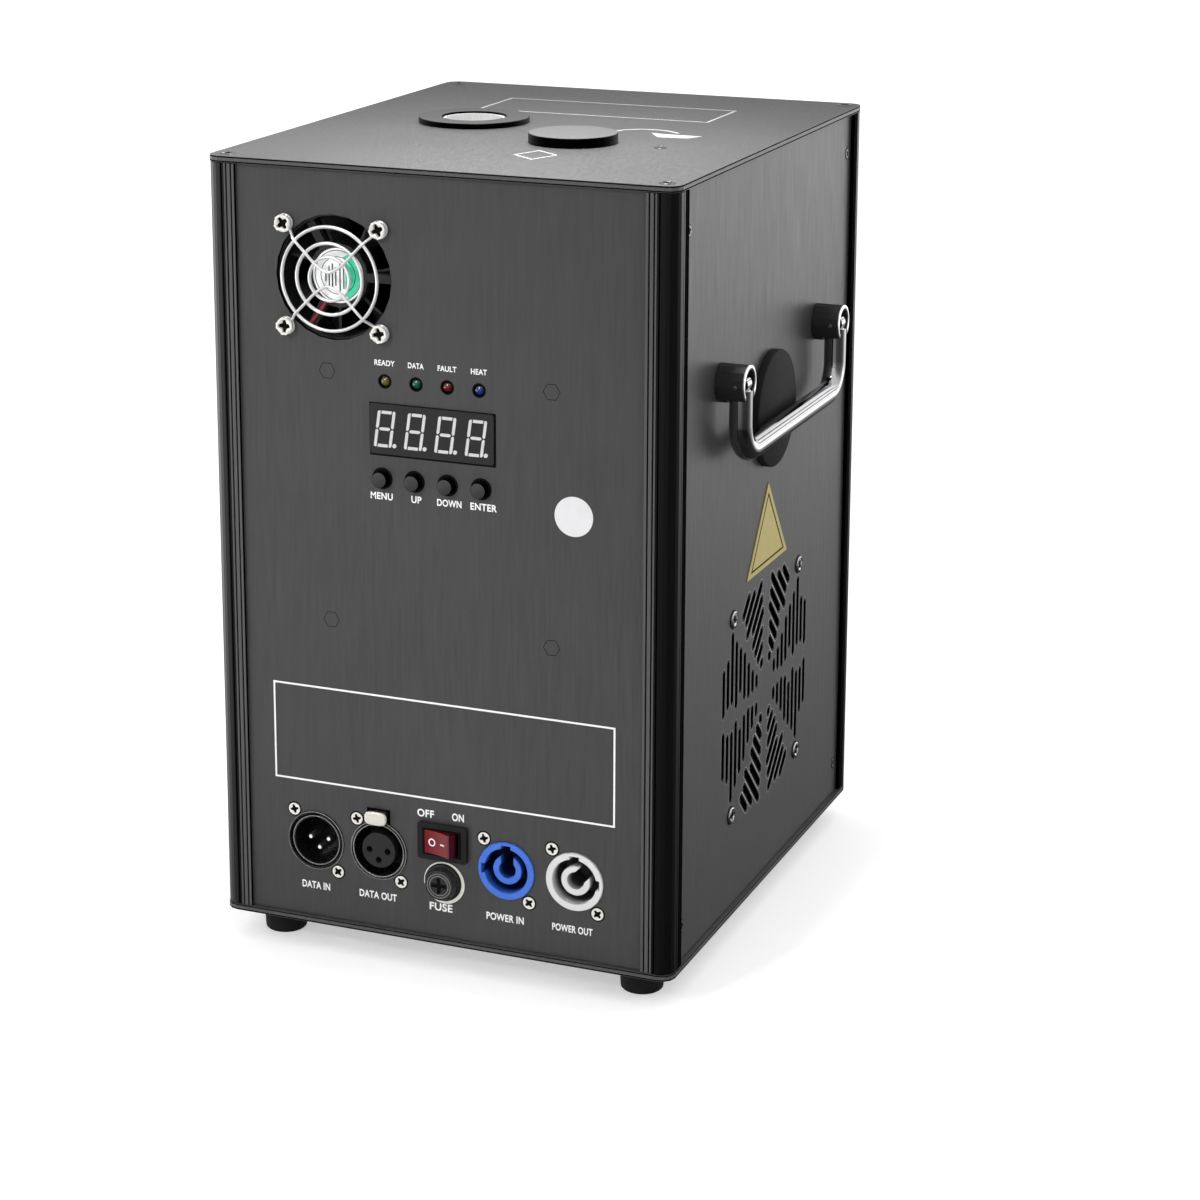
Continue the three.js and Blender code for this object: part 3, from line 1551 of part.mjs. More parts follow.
// Main board: stands on four standoffs inside the back panel
function mainBoard() {
  const face = panelBack - mainStandoff;
  const outer = face - boardThickness;
  const middle = (mainTop + mainBottom) / 2;
  const tall = mainTop - mainBottom;
  const bodies = [pushed(box(0, middle, mainWidth, tall), outer, face)];
  for (const sx of [-1, 1]) {
    for (const sy of [-1, 1]) {
      const x = sx * (mainWidth / 2 - mainInset);
      const y = middle + sy * (tall / 2 - mainInset);
      bodies.push(rod(standoffRadius, face - gap, panelBack, tiny).translate([x, y, 0]));
    }
  }
  const unit = tall / 6;
  const partShares = [
    [-2.6, 1.3, 1.2, 1.4, 0.9],
    [-1, 1.3, 1.2, 1.4, 0.9],
    [1.2, 0.6, 2, 1.2, 0.3],
    [0, -2.2, 6, 0.7, 0.6],
    [2.9, 0.4, 0.7, 3, 1.4],
    [-2.6, -0.8, 1.4, 1.2, 1],
  ];
  for (const [x, y, w, h, d] of partShares) {
    const outline = box(x * unit, middle + y * unit, w * unit, h * unit);
    bodies.push(pushed(outline, outer - d * unit, outer + gap));
  }
  place(back, "main_board", join(...bodies), boardGreen);
}

plates();
cornerPosts();
feet();
controlPanel();
plainPanels();
exhaustFan();
intakeFan();
fanGuard();
lamps();
display();
buttons();
displayBoard();
switchHousing();
switchRocker();
fuseHolder();
fuseCartridge();
fuseCap();
dataInlet();
dataOutlet();
outletLatch();
powerSocket("power_inlet", blueShell, powerInX, [90, 180], 90);
powerSocket("power_outlet", greyShell, powerOutX, [90, 0], 45);
handles(right, "right");
handles(left, "left");
nozzleFlange();
nozzleTube();
fillerCap();
hopper();
feedHousing();
feedScrew();
feedMotor();
heaterJacket();
blowerHousing();
blowerImpeller();
coreFrame();
powerSupply();
mainBoard();

export default machine;
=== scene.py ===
import math

import bmesh
import bpy
from mathutils import Matrix, Vector


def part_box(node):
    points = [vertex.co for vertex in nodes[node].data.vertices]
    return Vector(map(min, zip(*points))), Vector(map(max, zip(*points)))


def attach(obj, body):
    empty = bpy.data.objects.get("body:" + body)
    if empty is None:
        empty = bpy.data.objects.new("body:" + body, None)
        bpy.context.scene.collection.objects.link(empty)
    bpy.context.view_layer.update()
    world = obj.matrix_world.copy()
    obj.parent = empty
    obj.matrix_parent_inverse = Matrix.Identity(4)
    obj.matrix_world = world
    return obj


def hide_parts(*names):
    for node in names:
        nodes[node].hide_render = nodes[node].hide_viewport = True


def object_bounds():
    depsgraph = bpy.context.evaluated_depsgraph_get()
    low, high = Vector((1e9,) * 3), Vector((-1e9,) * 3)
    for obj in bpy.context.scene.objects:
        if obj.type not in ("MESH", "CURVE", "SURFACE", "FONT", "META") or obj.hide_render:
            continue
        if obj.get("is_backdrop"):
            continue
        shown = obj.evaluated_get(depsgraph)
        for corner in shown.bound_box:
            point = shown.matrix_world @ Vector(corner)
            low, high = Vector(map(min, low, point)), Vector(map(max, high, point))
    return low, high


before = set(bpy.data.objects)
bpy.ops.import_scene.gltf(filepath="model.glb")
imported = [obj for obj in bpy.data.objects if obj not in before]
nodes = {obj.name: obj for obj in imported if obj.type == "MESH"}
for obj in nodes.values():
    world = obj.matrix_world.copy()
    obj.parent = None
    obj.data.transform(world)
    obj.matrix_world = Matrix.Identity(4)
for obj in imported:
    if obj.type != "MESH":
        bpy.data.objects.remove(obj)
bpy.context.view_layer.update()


# Studio: a pale floor in a white cove that dims towards the ground, with bright low walls behind on the
# right and along the left, a narrow light before the machine and a wide one over its top plate. The camera
# stands to the right of the front, a little above the top plate.
EYE = (0.46815, -1.12742, 0.5042)
EYE_TURN, EYE_TILT = math.radians(22.549), math.radians(13.898)
PHOTO_SIDE, PHOTO_FOCUS, PHOTO_CENTRE = 1200, 3042.04, (550.34, 414.14)
SENSOR = 36.0


class Wire:
    """One output of a shader tree; sums and products of it add Math nodes."""

    def __init__(self, tree, socket):
        self.tree, self.socket = tree, socket

    def node(self, kind, settings=None, values=None, out=0):
        made = self.tree.nodes.new(kind)
        for key, value in (settings or {}).items():
            if key == "stops":
                ramp = made.color_ramp
                while len(ramp.elements) < len(value):
                    ramp.elements.new(0.5)
                for element, (place, colour) in zip(ramp.elements, value):
                    element.position, element.color = place, colour
            else:
                setattr(made, key, value)
        for key, value in (values or {}).items():
            if isinstance(value, Wire):
                self.tree.links.new(value.socket, made.inputs[key])
            else:
                made.inputs[key].default_value = value
        return Wire(self.tree, made.outputs[out])

    def math(self, kind, *values):
        return self.node("ShaderNodeMath", {"operation": kind}, dict(enumerate(values)))

    def into(self, socket):
        self.tree.links.new(self.socket, socket)

    def __add__(self, other):
        return self.math("ADD", self, other)

    def __radd__(self, other):
        return self.math("ADD", other, self)

    def __sub__(self, other):
        return self.math("SUBTRACT", self, other)

    def __rsub__(self, other):
        return self.math("SUBTRACT", other, self)

    def __mul__(self, other):
        return self.math("MULTIPLY", self, other)

    def __rmul__(self, other):
        return self.math("MULTIPLY", other, self)


def vector_math(kind, a, b, out=0):
    """A Vector Math node; its value, such as a distance, is output 1."""
    return a.node("ShaderNodeVectorMath", {"operation": kind}, {0: a, 1: b}, out=out)


def coordinate(place, axis):
    """The x, y or z of a place, for axis 0, 1 or 2."""
    return place.node("ShaderNodeSeparateXYZ", None, {0: place}, out=axis)


def rgba(tone):
    """A colour with its alpha; one number stands for a grey."""
    return (tone, tone, tone, 1) if isinstance(tone, (int, float)) else (*tone, 1)


def placed(name, data):
    """An object of this name in the scene."""
    thing = bpy.data.objects.new(name, data)
    bpy.context.scene.collection.objects.link(thing)
    return thing


camera = placed("camera", bpy.data.cameras.new("camera"))
camera.location = EYE
camera.rotation_euler = (math.pi / 2 - EYE_TILT, 0, EYE_TURN)
camera.data.sensor_width = SENSOR
camera.data.lens = PHOTO_FOCUS / PHOTO_SIDE * SENSOR
camera.data.shift_x = 0.5 - PHOTO_CENTRE[0] / PHOTO_SIDE
camera.data.shift_y = PHOTO_CENTRE[1] / PHOTO_SIDE - 0.5
camera.data.clip_start, camera.data.clip_end = 0.01, 100
bpy.context.scene.camera = camera
bpy.context.scene.view_settings.view_transform = "Standard"

world = bpy.data.worlds.new("cove")
bpy.context.scene.world = world
world.use_nodes = True
sky = world.node_tree
looking = Wire(sky, sky.nodes.new("ShaderNodeTexCoord").outputs["Generated"])
height = coordinate(looking, 2)


def cove(*stops):
    """Grey levels of the cove over the height of the line of sight, from -1 to 1."""
    stops = [(z * 0.5 + 0.5, rgba(level)) for z, level in stops]
    return height.node("ShaderNodeValToRGB", {"stops": stops}, {0: height * 0.5 + 0.5})


def sector(towards, start, end, outside, inside):
    """A level that changes smoothly from outside a sector of the cove to inside it."""
    facing = vector_math("DOT_PRODUCT", looking, towards, 1)
    return facing.node(
        "ShaderNodeMapRange",
        {"interpolation_type": "SMOOTHSTEP"},
        {"Value": facing, "From Min": start, "From Max": end, "To Min": outside, "To Max": inside},
    )


def lit(colour, level):
    return colour.node("ShaderNodeVectorMath", {"operation": "SCALE"}, {0: colour, "Scale": level})


dim_corners = sector((0.92, -0.39, 0), 0.55, 0.95, 1, 0.25) * sector((-0.38, 0.92, 0), 0.75, 0.95, 1, 0.6)
light = lit(cove((-1, 0.02), (-0.4, 0.04), (-0.16, 0.34), (0.04, 0.95), (1, 1)), dim_corners)
TALL_WALL = (-1, 0), (-0.4, 0), (-0.26, 0.12), (-0.13, 1), (-0.04, 1), (0.05, 0.32), (0.4, 0.25)
LOW_WALL = (-1, 0), (-0.42, 0), (-0.34, 1), (-0.14, 1), (-0.06, 0)
for stops, towards, start, end, level in (
    (TALL_WALL, (0.38, 0.92, 0), 0.75, 0.95, 2.7),
    (LOW_WALL, (-0.98, 0.2, 0), 0.88, 0.96, 2.6),
    (LOW_WALL, (-0.88, -0.42, 0), 0.74, 0.95, 2.6),
):
    wall = lit(cove(*stops), sector(towards, start, end, 0, level))
    light = vector_math("ADD", light, wall)
gaps = height * 0 + 1
for z, half in ((-0.02, 0.022), (0.13, 0.03), (0.29, 0.025)):
    off = (height - z).math("ABSOLUTE", height - z)
    gaps = gaps * off.math("GREATER_THAN", off, half)
lit(light, gaps * 0.8 + 0.2).into(sky.nodes["Background"].inputs["Color"])
sky.nodes["Background"].inputs["Strength"].default_value = 0.94


def soft_light(name, place, aim, size, watts, spread=180):
    lamp = bpy.data.lights.new(name, "AREA")
    lamp.shape, lamp.size, lamp.energy, lamp.spread = "DISK", size, watts, math.radians(spread)
    light = placed(name, lamp)
    light.location = place
    light.rotation_euler = (Vector(aim) - Vector(place)).to_track_quat("-Z", "Y").to_euler()


soft_light("front_light", (-0.55, -1.5, 1.15), (-0.03, -0.11, 0.2), 0.3, 0.1, 11)
soft_light("top_light", (0.02, -0.04, 0.72), (0.02, -0.11, 0.32), 0.12, 0.66, 62)

floor_mesh = bpy.data.meshes.new("floor")
floor_mesh.from_pydata([(-9, -4, 0), (9, -4, 0), (9, 16, 0), (-9, 16, 0)], [], [(0, 1, 2, 3)])
floor = placed("floor", floor_mesh)
floor.visible_glossy = False
floor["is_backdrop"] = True


def finish(name, colour, **sockets):
    """A material, its Principled shader and the place of a point on the piece, in the model's frame."""
    material = bpy.data.materials.new(name)
    material.use_nodes = True
    tree = material.node_tree
    shader = tree.nodes["Principled BSDF"]
    shader.inputs["Base Color"].default_value = rgba(colour)
    for key, value in sockets.items():
        shader.inputs[key.replace("_", " ")].default_value = value
    return material, shader, Wire(tree, tree.nodes.new("ShaderNodeTexCoord").outputs["Object"])


def noise(place, scale, detail=2, stretch=None):
    """Even noise from 0 to 1; stretch shrinks the distances along an axis to draw streaks."""
    if stretch:
        place = vector_math("MULTIPLY", place, stretch)
    return place.node("ShaderNodeTexNoise", None, {"Vector": place, "Scale": scale, "Detail": detail})


def between(share, low, high):
    """The colour that lies a share of the way from low to high."""
    low, high = (tone if isinstance(tone, Wire) else rgba(tone) for tone in (low, high))
    return share.node("ShaderNodeMix", {"data_type": "RGBA"}, {0: share, 6: low, 7: high}, out=2)


def grain(shader, height, strength, depth):
    bump = height.node("ShaderNodeBump", None, {"Strength": strength, "Distance": depth, "Height": height})
    bump.into(shader.inputs["Normal"])


def flecked(name, low, high, scale, detail=2, rough=None, grit=None, stretch=None, **sockets):
    """A finish that noise varies from one colour to another, in roughness by (least, spread) and in height
    by the (strength, depth) of its grit."""
    material, shader, place = finish(name, high, **sockets)
    share = noise(place, scale, detail, stretch)
    between(share, low, high).into(shader.inputs["Base Color"])
    if rough:
        (rough[0] + share * rough[1]).into(shader.inputs["Roughness"])
    if grit:
        grain(shader, share, *grit)
    return material


glow = {"Emission_Color": rgba(1), "Emission_Strength": 0.45}
floor_mesh.materials.append(flecked("floor_paint", 0.92, 0.94, 3, Roughness=0.9, **glow))


# Case: top and base plate and four panels of sheet metal with a fine matt black finish. The panels are
# brushed upright before they are finished, which leaves faint streaks; the plates have a plain sand grain.
def dress(piece, material):
    piece.data.materials.clear()
    piece.data.materials.append(material)


def smoothing():
    """A modifier's node group that shades smooth over gentle edges and keeps the sharp ones."""
    group = bpy.data.node_groups.new("gentle_edges", "GeometryNodeTree")
    group.interface.new_socket("Geometry", in_out="INPUT", socket_type="NodeSocketGeometry")
    group.interface.new_socket("Geometry", in_out="OUTPUT", socket_type="NodeSocketGeometry")
    start, end = group.nodes.new("NodeGroupInput"), group.nodes.new("NodeGroupOutput")
    angle = group.nodes.new("GeometryNodeInputMeshEdgeAngle")
    sharp = group.nodes.new("FunctionNodeCompare")
    sharp.data_type, sharp.operation = "FLOAT", "GREATER_THAN"
    sharp.inputs[1].default_value = math.radians(36)
    soften, crease = (group.nodes.new("GeometryNodeSetShadeSmooth") for part in range(2))
    soften.domain, crease.domain = "FACE", "EDGE"
    crease.inputs["Shade Smooth"].default_value = False
    for a, b in (
        (start.outputs[0], soften.inputs["Geometry"]),
        (soften.outputs[0], crease.inputs["Geometry"]),
        (angle.outputs[0], sharp.inputs[0]),
        (sharp.outputs[0], crease.inputs["Selection"]),
        (crease.outputs[0], end.inputs[0]),
    ):
        group.links.new(a, b)
    return group


GENTLE_EDGES = smoothing()


def ease(piece, width):
    """Breaks a piece's sharp edges by a width in metres and shades its curves smooth."""
    if width:
        bevel = piece.modifiers.new("eased", "BEVEL")
        bevel.width, bevel.segments, bevel.limit_method = width, 2, "ANGLE"
        bevel.angle_limit = math.radians(40)
    piece.modifiers.new("gentle", "NODES").node_group = GENTLE_EDGES


def dress_nodes(names, material, width=0.0):
    """Gives CAD nodes a material and eases their edges by a width in metres."""
    for name in names:
        dress(nodes[name], material)
        ease(nodes[name], width)


def sheet_finish(name, dark, light, roughness, stretch, face=None, rims=None):
    """Brushed or sanded black. Face is the outer side's axis and place, and the cut edges behind it are
    painted near black as painted shade; rims is the middle height of a plate, whose edge face gets a band of
    painted shade along its two rims."""
    material, shader, place = finish(name, light, Roughness=roughness)
    streaks = noise(place, 800, 4, stretch)
    sand = noise(place, 2400, 3)
    cloud = noise(place, 18, 3)
    colour = between((streaks * 0.45 + sand * 0.3 + cloud * 0.25 - 0.5) * 1.5 + 0.5, dark, light)
    # Painted shade: cut edges behind the face and a plate's rims go near black, metallic and rougher.
    cut = None
    if rims:
        off = coordinate(place, 2) - rims
        off = off.math("ABSOLUTE", off)
        cut = off.math("GREATER_THAN", off, 0.00062) * off.math("LESS_THAN", off, 0.00112)
    if face:
        depth = vector_math("DOT_PRODUCT", place, face[0], 1)
        cut = depth.math("LESS_THAN", depth, face[1] - 0.0001)
    if cut:
        colour = between(cut, colour, 0.004)
        cut.into(shader.inputs["Metallic"])
    colour.into(shader.inputs["Base Color"])
    level = roughness - 0.12 + streaks * 0.24
    (level + cut * 0.5 if cut else level).into(shader.inputs["Roughness"])
    grain(shader, sand * 0.4 + streaks * 0.6, 0.5, 0.0001)
    return material


PANEL_TONES = 0.034, 0.064
PLATE_TONES = (0.045, 0.045, 0.046), (0.115, 0.115, 0.116)
FRONT_FACE, RIGHT_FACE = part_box("control_panel")[0].y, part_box("right_panel")[1].x
material = sheet_finish("panel_finish", *PANEL_TONES, 0.42, (1, 1, 0.02))
dress_nodes(("left_panel", "back_panel"), material)
# The front and right panels get painted shade on the walls of their slots and holes.
for name, *face in (("control_panel", (0, -1, 0), -FRONT_FACE), ("right_panel", (1, 0, 0), RIGHT_FACE)):
    material = sheet_finish(name + "_finish", *PANEL_TONES, 0.42, (1, 1, 0.06), face)
    dress_nodes([name], material, 0.00012)
# The plates get painted shade along the rims of their edge faces.
for name in ("top_plate", "base_plate"):
    low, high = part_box(name)
    material = sheet_finish(name + "_finish", *PLATE_TONES, 0.42, (1, 0.3, 1), rims=(low.z + high.z) / 2)
    dress_nodes([name], material, 0.0002)

MM = 0.001
SHIFT = (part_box("top_plate")[0].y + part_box("top_plate")[1].y) / 2


def wall_frame(along, out, origin):
    """A wall's own frame in millimetres: x along it, y up, z out of its face."""
    columns = along, (0, 0, 1), out
    return Matrix([[c[row] * MM for c in columns] + [origin[row]] for row in range(3)] + [[0, 0, 0, 1]])


WALLS = {
    "front": wall_frame((1, 0, 0), (0, -1, 0), (0, FRONT_FACE, 0)),
    "right": wall_frame((0, 1, 0), (1, 0, 0), (RIGHT_FACE, SHIFT, 0)),
    "left": wall_frame((0, -1, 0), (-1, 0, 0), (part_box("left_panel")[0].x, SHIFT, 0)),
    "back": wall_frame((-1, 0, 0), (0, 1, 0), (0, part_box("back_panel")[1].y, 0)),
    "top": Matrix.Translation((0, SHIFT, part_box("top_plate")[1].z)) @ Matrix.Scale(MM, 4),
    "ground": Matrix.Translation((0, SHIFT, 0)) @ Matrix.Scale(MM, 4),
}


# Corner posts: black anodised extrusions, each with a quarter-round bead and three fine grooves a side.
# The die leaves faint upright lines. The bead is glossy; the front lands are painted paler as painted light,
# and the grooves and side faces are painted black as painted shade.
material, shader, place = finish("post_finish", 0.006, Roughness=0.3, Specular_IOR_Level=0.35)
lines = noise(place, 1500, 3, (1, 1, 0.01))
across = vector_math("SUBTRACT", place, (0, SHIFT, 0))
across = place.node("ShaderNodeVectorMath", {"operation": "ABSOLUTE"}, {0: across})
across_x, across_y = coordinate(across, 0), coordinate(across, 1)
BEAD_SIDE, BEAD_END, LAND_FACE = 0.0885, 0.1065, 0.1143
# Painted light and shade: the front lands are paler, and the grooves and side faces go black and metallic.
bead = place.math("GREATER_THAN", across_x, BEAD_SIDE) * place.math("GREATER_THAN", across_y, BEAD_END)
lit_land = place.math("GREATER_THAN", across_y, LAND_FACE) * (1 - bead)
groove = (1 - bead) * (1 - lit_land)
between(lit_land * (0.5 + lines * 0.5), 0.003, 0.11).into(shader.inputs["Base Color"])
groove.into(shader.inputs["Metallic"])
(0.26 + lines * 0.1 + groove * 0.6).into(shader.inputs["Roughness"])
grain(shader, lines, 0.15, 0.00004)
dress_nodes([name for name in nodes if name.startswith("corner_post")], material)


# Feet: four moulded rubber discs, tapered towards the ground. The recess in each one's middle is for the
# screw that holds it to the base plate.
def turned(name, profile, steps=64, ring=False):
    """A profile of (radius, height) pairs in millimetres turned round the local z axis."""
    shell = bmesh.new()
    rows = []
    for radius, z in profile:
        turns = [2 * math.pi * i / steps for i in range(steps if radius > 0 else 1)]
        rows.append([shell.verts.new((radius * math.cos(a), radius * math.sin(a), z)) for a in turns])
    pairs = list(zip(rows, rows[1:])) + ([(rows[-1], rows[0])] if ring else [])
    for lower, upper in pairs:
        for i in range(steps):
            j = (i + 1) % steps
            corners = [row[k % len(row)] for row, k in ((lower, i), (lower, j), (upper, j), (upper, i))]
            corners = list(dict.fromkeys(corners))
            if len(corners) > 2:
                shell.faces.new(corners)
    bmesh.ops.recalc_face_normals(shell, faces=shell.faces)
    return as_piece(name, shell)


def as_piece(name, shell):
    mesh = bpy.data.meshes.new(name)
    shell.to_mesh(mesh)
    shell.free()
    return placed(name, mesh)


def seat(piece, wall, x, y, z, material, body="case", eased=0.0, stands_for=None):
    """Puts a piece made in millimetres on its wall, dresses it and lets it ride on its body."""
    piece.data.transform(WALLS[wall] @ Matrix.Translation((x, y, z)))
    dress(piece, material)
    ease(piece, eased * MM)
    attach(piece, body)
    if stands_for:
        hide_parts(stands_for)
    return piece


RUBBER = {"rough": (0.62, 0.16), "grit": (0.3, 0.00012), "Specular_IOR_Level": 0.25}
RUBBER_FINISH = flecked("rubber_finish", 0.005, 0.016, 700, 4, **RUBBER)
CORNERS = {"front_left": (-1, -1), "front_right": (1, -1), "back_right": (1, 1), "back_left": (-1, 1)}
HALF_WIDTH, HALF_DEPTH, FOOT_INSET = 96.5, 114.5, 18.4
FOOT_PROFILE = [(0, 5), (4.5, 5), (4.5, 0), (7.6, 0), (8.4, 0.8), (9, 11.7), (0, 11.7)]
for end, (sx, sy) in CORNERS.items():
    foot = turned(f"rubber_foot_{end}", FOOT_PROFILE)
    x, y = sx * (HALF_WIDTH - FOOT_INSET), sy * (HALF_DEPTH - FOOT_INSET)
    seat(foot, "ground", x, y, 0, RUBBER_FINISH, eased=0.3, stands_for=f"foot_{end}")


# Screws: bright pan heads on the fan, small bright flat heads at the sockets and blackened ones elsewhere,
# every one with a cross recess. Each head is cut from a disc with a rounded rim over a dark disc that is
# painted shade in the recess; some have a ring of painted shade round them on the wall.
def meshed(name, curve):
    """The mesh of a curve."""
    holder = placed(name, curve)
    mesh = bpy.data.meshes.new_from_object(holder.evaluated_get(bpy.context.evaluated_depsgraph_get()))
    bpy.data.objects.remove(holder)
    return mesh


def cast(name, outlines, low, high, edge=0.0):
    """Flat outlines in millimetres, holes among them, pushed from low to high with rounded edges."""
    curve = bpy.data.curves.new(name, "CURVE")
    curve.dimensions, curve.fill_mode = "2D", "BOTH"
    curve.extrude = max((high - low) / 2 - edge, 0)
    curve.bevel_depth, curve.bevel_resolution, curve.offset = edge, 3, -edge
    for outline in outlines:
        spline = curve.splines.new("POLY")
        spline.points.add(len(outline) - 1)
        spline.use_cyclic_u = True
        for point, (x, y) in zip(spline.points, outline):
            point.co = (x, y, 0, 1)
    mesh = meshed(name, curve)
    mesh.transform(Matrix.Translation((0, 0, (low + high) / 2)))
    return placed(name, mesh)


def disc(radius, steps=48, x=0, y=0, start=0, sweep=360):
    """Points round a circle in millimetres, or along a part of it."""
    count = steps if sweep == 360 else steps + 1
    angles = [math.radians(start + sweep * i / steps) for i in range(count)]
    return [(x + radius * math.cos(a), y + radius * math.sin(a)) for a in angles]


def spun(points, turn):
    """Points turned round the origin by some degrees."""
    c, s = math.cos(math.radians(turn)), math.sin(math.radians(turn))
    return [(x * c - y * s, x * s + y * c) for x, y in points]


def cross(reach, half, turn=20):
    """The outline of a cross recess, turned by a few degrees as a driven screw ends up."""
    side = [(reach, -half * 0.75), (reach, half * 0.75), (half * 1.35, half * 1.35)]
    return spun([point for quarter in range(4) for point in spun(side, 90 * quarter)], turn)


bright, plated = [(0.62, 0.6, 0.56), (0.86, 0.85, 0.82)], [(0.86, 0.84, 0.78), (1.0, 0.98, 0.92)]
BRIGHT_SCREW = flecked("bright_screw", *bright, 1200, 3, rough=(0.22, 0.18), Metallic=1.0)
BLACK_SCREW = flecked("black_screw", 0.1, 0.34, 1200, 3, rough=(0.2, 0.2), Metallic=0.9)
# Near black for painted shade in recesses, gaps and round holes, and for thin dark print lines.
SHADE_AND_PRINT_BLACK = flecked("shade_and_print_black", 0.001, 0.004, 900, Roughness=0.7, Specular_IOR_Level=0.12)
PLATED_SCREW = flecked("plated_screw", *plated, 900, 3, rough=(0.34, 0.14), Metallic=0.35)


def screw(name, wall, x, y, z, radius, rise, material, collar=0.0, turn=20):
    """A screw head that stands a rise above z, with a dark ring of painted shade round it where a collar is
    given.
    """
    head = cast(name, [disc(radius), cross(radius * 0.72, radius * 0.2, turn)], 0, rise, rise * 0.45)
    seat(head, wall, x, y, z, material)
    # A dark disc under the cross recess is painted shade.
    well = cast(name + "_recess", [disc(radius * 0.8)], -0.02, rise * 0.2)
    seat(well, wall, x, y, z, SHADE_AND_PRINT_BLACK)
    if collar:
        ring = cast(name + "_sink", [disc(radius + collar), disc(radius * 0.8)], 0.0, 0.06)
        seat(ring, wall, x, y, z, SHADE_AND_PRINT_BLACK)


PLATE_SCREW, HOPPER_SCREW, PANEL_SCREW_HEIGHTS = 6.6, (58.7, -31.4), (28.8, 302)
for i, (sx, sy) in enumerate(CORNERS.values()):
    x, y = sx * (HALF_WIDTH - PLATE_SCREW), sy * (HALF_DEPTH - PLATE_SCREW)
    screw(f"plate_screw_{i}", "top", x, y, 0, 3.2, 0.25, BLACK_SCREW, 0, 20 + 31 * i)
screw("plate_screw_hopper", "top", *HOPPER_SCREW, 0, 2.6, 0.25, BLACK_SCREW, 0, 10)
for wall, reach in (("right", 97.5), ("left", 97.5), ("back", 79.5)):
    for i, (x, y) in enumerate([(s * reach, h) for s in (-1, 1) for h in PANEL_SCREW_HEIGHTS]):
        screw(f"{wall}_panel_screw_{i}", wall, x, y, 0, 2.1, 0.25, BLACK_SCREW, 0.4, 17 * i)


# Exhaust fan: a 50 mm black fan behind its port, with a round label on the hub and one red lead along a
# strut. A finger guard of bright wire lies over it: three rings welded under two wires that are bent to a
# point near the middle, held by four pan-head screws through the guard's eyelets.
def bent_wire(name, paths, radius, rounds=4):
    """Round wires in millimetres along lists of points; a closed path's flag is True."""
    curve = bpy.data.curves.new(name, "CURVE")
    curve.dimensions, curve.bevel_depth, curve.bevel_resolution = "3D", radius, rounds
    curve.use_fill_caps = True
    for points, closed in paths:
        spline = curve.splines.new("POLY")
        spline.points.add(len(points) - 1)
        spline.use_cyclic_u = closed
        for point, co in zip(spline.points, points):
            point.co = (*co, 1)
    return placed(name, meshed(name, curve))


def through(points, steps=8):
    """A smooth path through a few points, as a bent wire takes it."""
    ends = [points[0], *points, points[-1]]
    path = []
    for a, b, c, d in zip(ends, ends[1:], ends[2:], ends[3:]):
        a, b, c, d = map(Vector, (a, b, c, d))
        for i in range(steps):
            t = i / steps
            cubic = (2 * a - 5 * b + 4 * c - d) * t**2 + (3 * b - a - 3 * c + d) * t**3
            path.append(0.5 * (2 * b + (c - a) * t + cubic))
    return [tuple(p) for p in path] + [tuple(points[-1])]


def join_pieces(name, parts):
    """One mesh out of several, which lie where they are."""
    shell = bmesh.new()
    for part in parts:
        shell.from_mesh(part.data)
        bpy.data.objects.remove(part)
    return as_piece(name, shell)


FAN_PLASTIC = flecked("fan_plastic", (0.009, 0.009, 0.01), (0.024, 0.024, 0.025), 500, 3, rough=(0.32, 0.14))
dress_nodes(("exhaust_fan_frame", "exhaust_fan_rotor", "intake_fan_frame", "intake_fan_rotor"), FAN_PLASTIC)

FAN_X, FAN_Y, FAN_HOLE = -43.2, 276.9, 20
GUARD_RINGS, GUARD_WIRE, CROSS_WIRE, EYELET = (20.1, 13.8, 8.4), 0.66, 0.58, 3.0
GUARD_RISE, EYELET_RISE, CROSSING = 3.6, 0.85, 2.8
HALF = math.sqrt(0.5)


def rectangle(x, y, wide, tall, turn=0):
    """A rectangle about a point, turned round the origin."""
    corners = [(-wide / 2, -tall / 2), (wide / 2, -tall / 2), (wide / 2, tall / 2), (-wide / 2, tall / 2)]
    return spun([(x + px, y + py) for px, py in corners], turn)


def guard_cross(side):
    """One of the two crossed wires: up from an eyelet, bent past the middle and down to the next."""
    top, foot = GUARD_RISE + 0.92, EYELET_RISE
    start = FAN_HOLE - EYELET * HALF
    shoulder = (start + GUARD_RINGS[0] * HALF) / 2
    half = [
        (start, start, foot),
        (shoulder, shoulder, (foot + top) / 2),
        (GUARD_RINGS[0] * HALF, GUARD_RINGS[0] * HALF, top),
        (GUARD_RINGS[1] * HALF, GUARD_RINGS[1] * HALF, top),
        (CROSSING * 2.1, CROSSING * 2.1, top),
        (CROSSING * 0.95, CROSSING * 1.3, top),
    ]
    left = [(-x, side * y, z) for x, y, z in half]
    right = [(x, side * y, z) for x, y, z in reversed(half)]
    return through([*left, (0, side * CROSSING, top), *right])


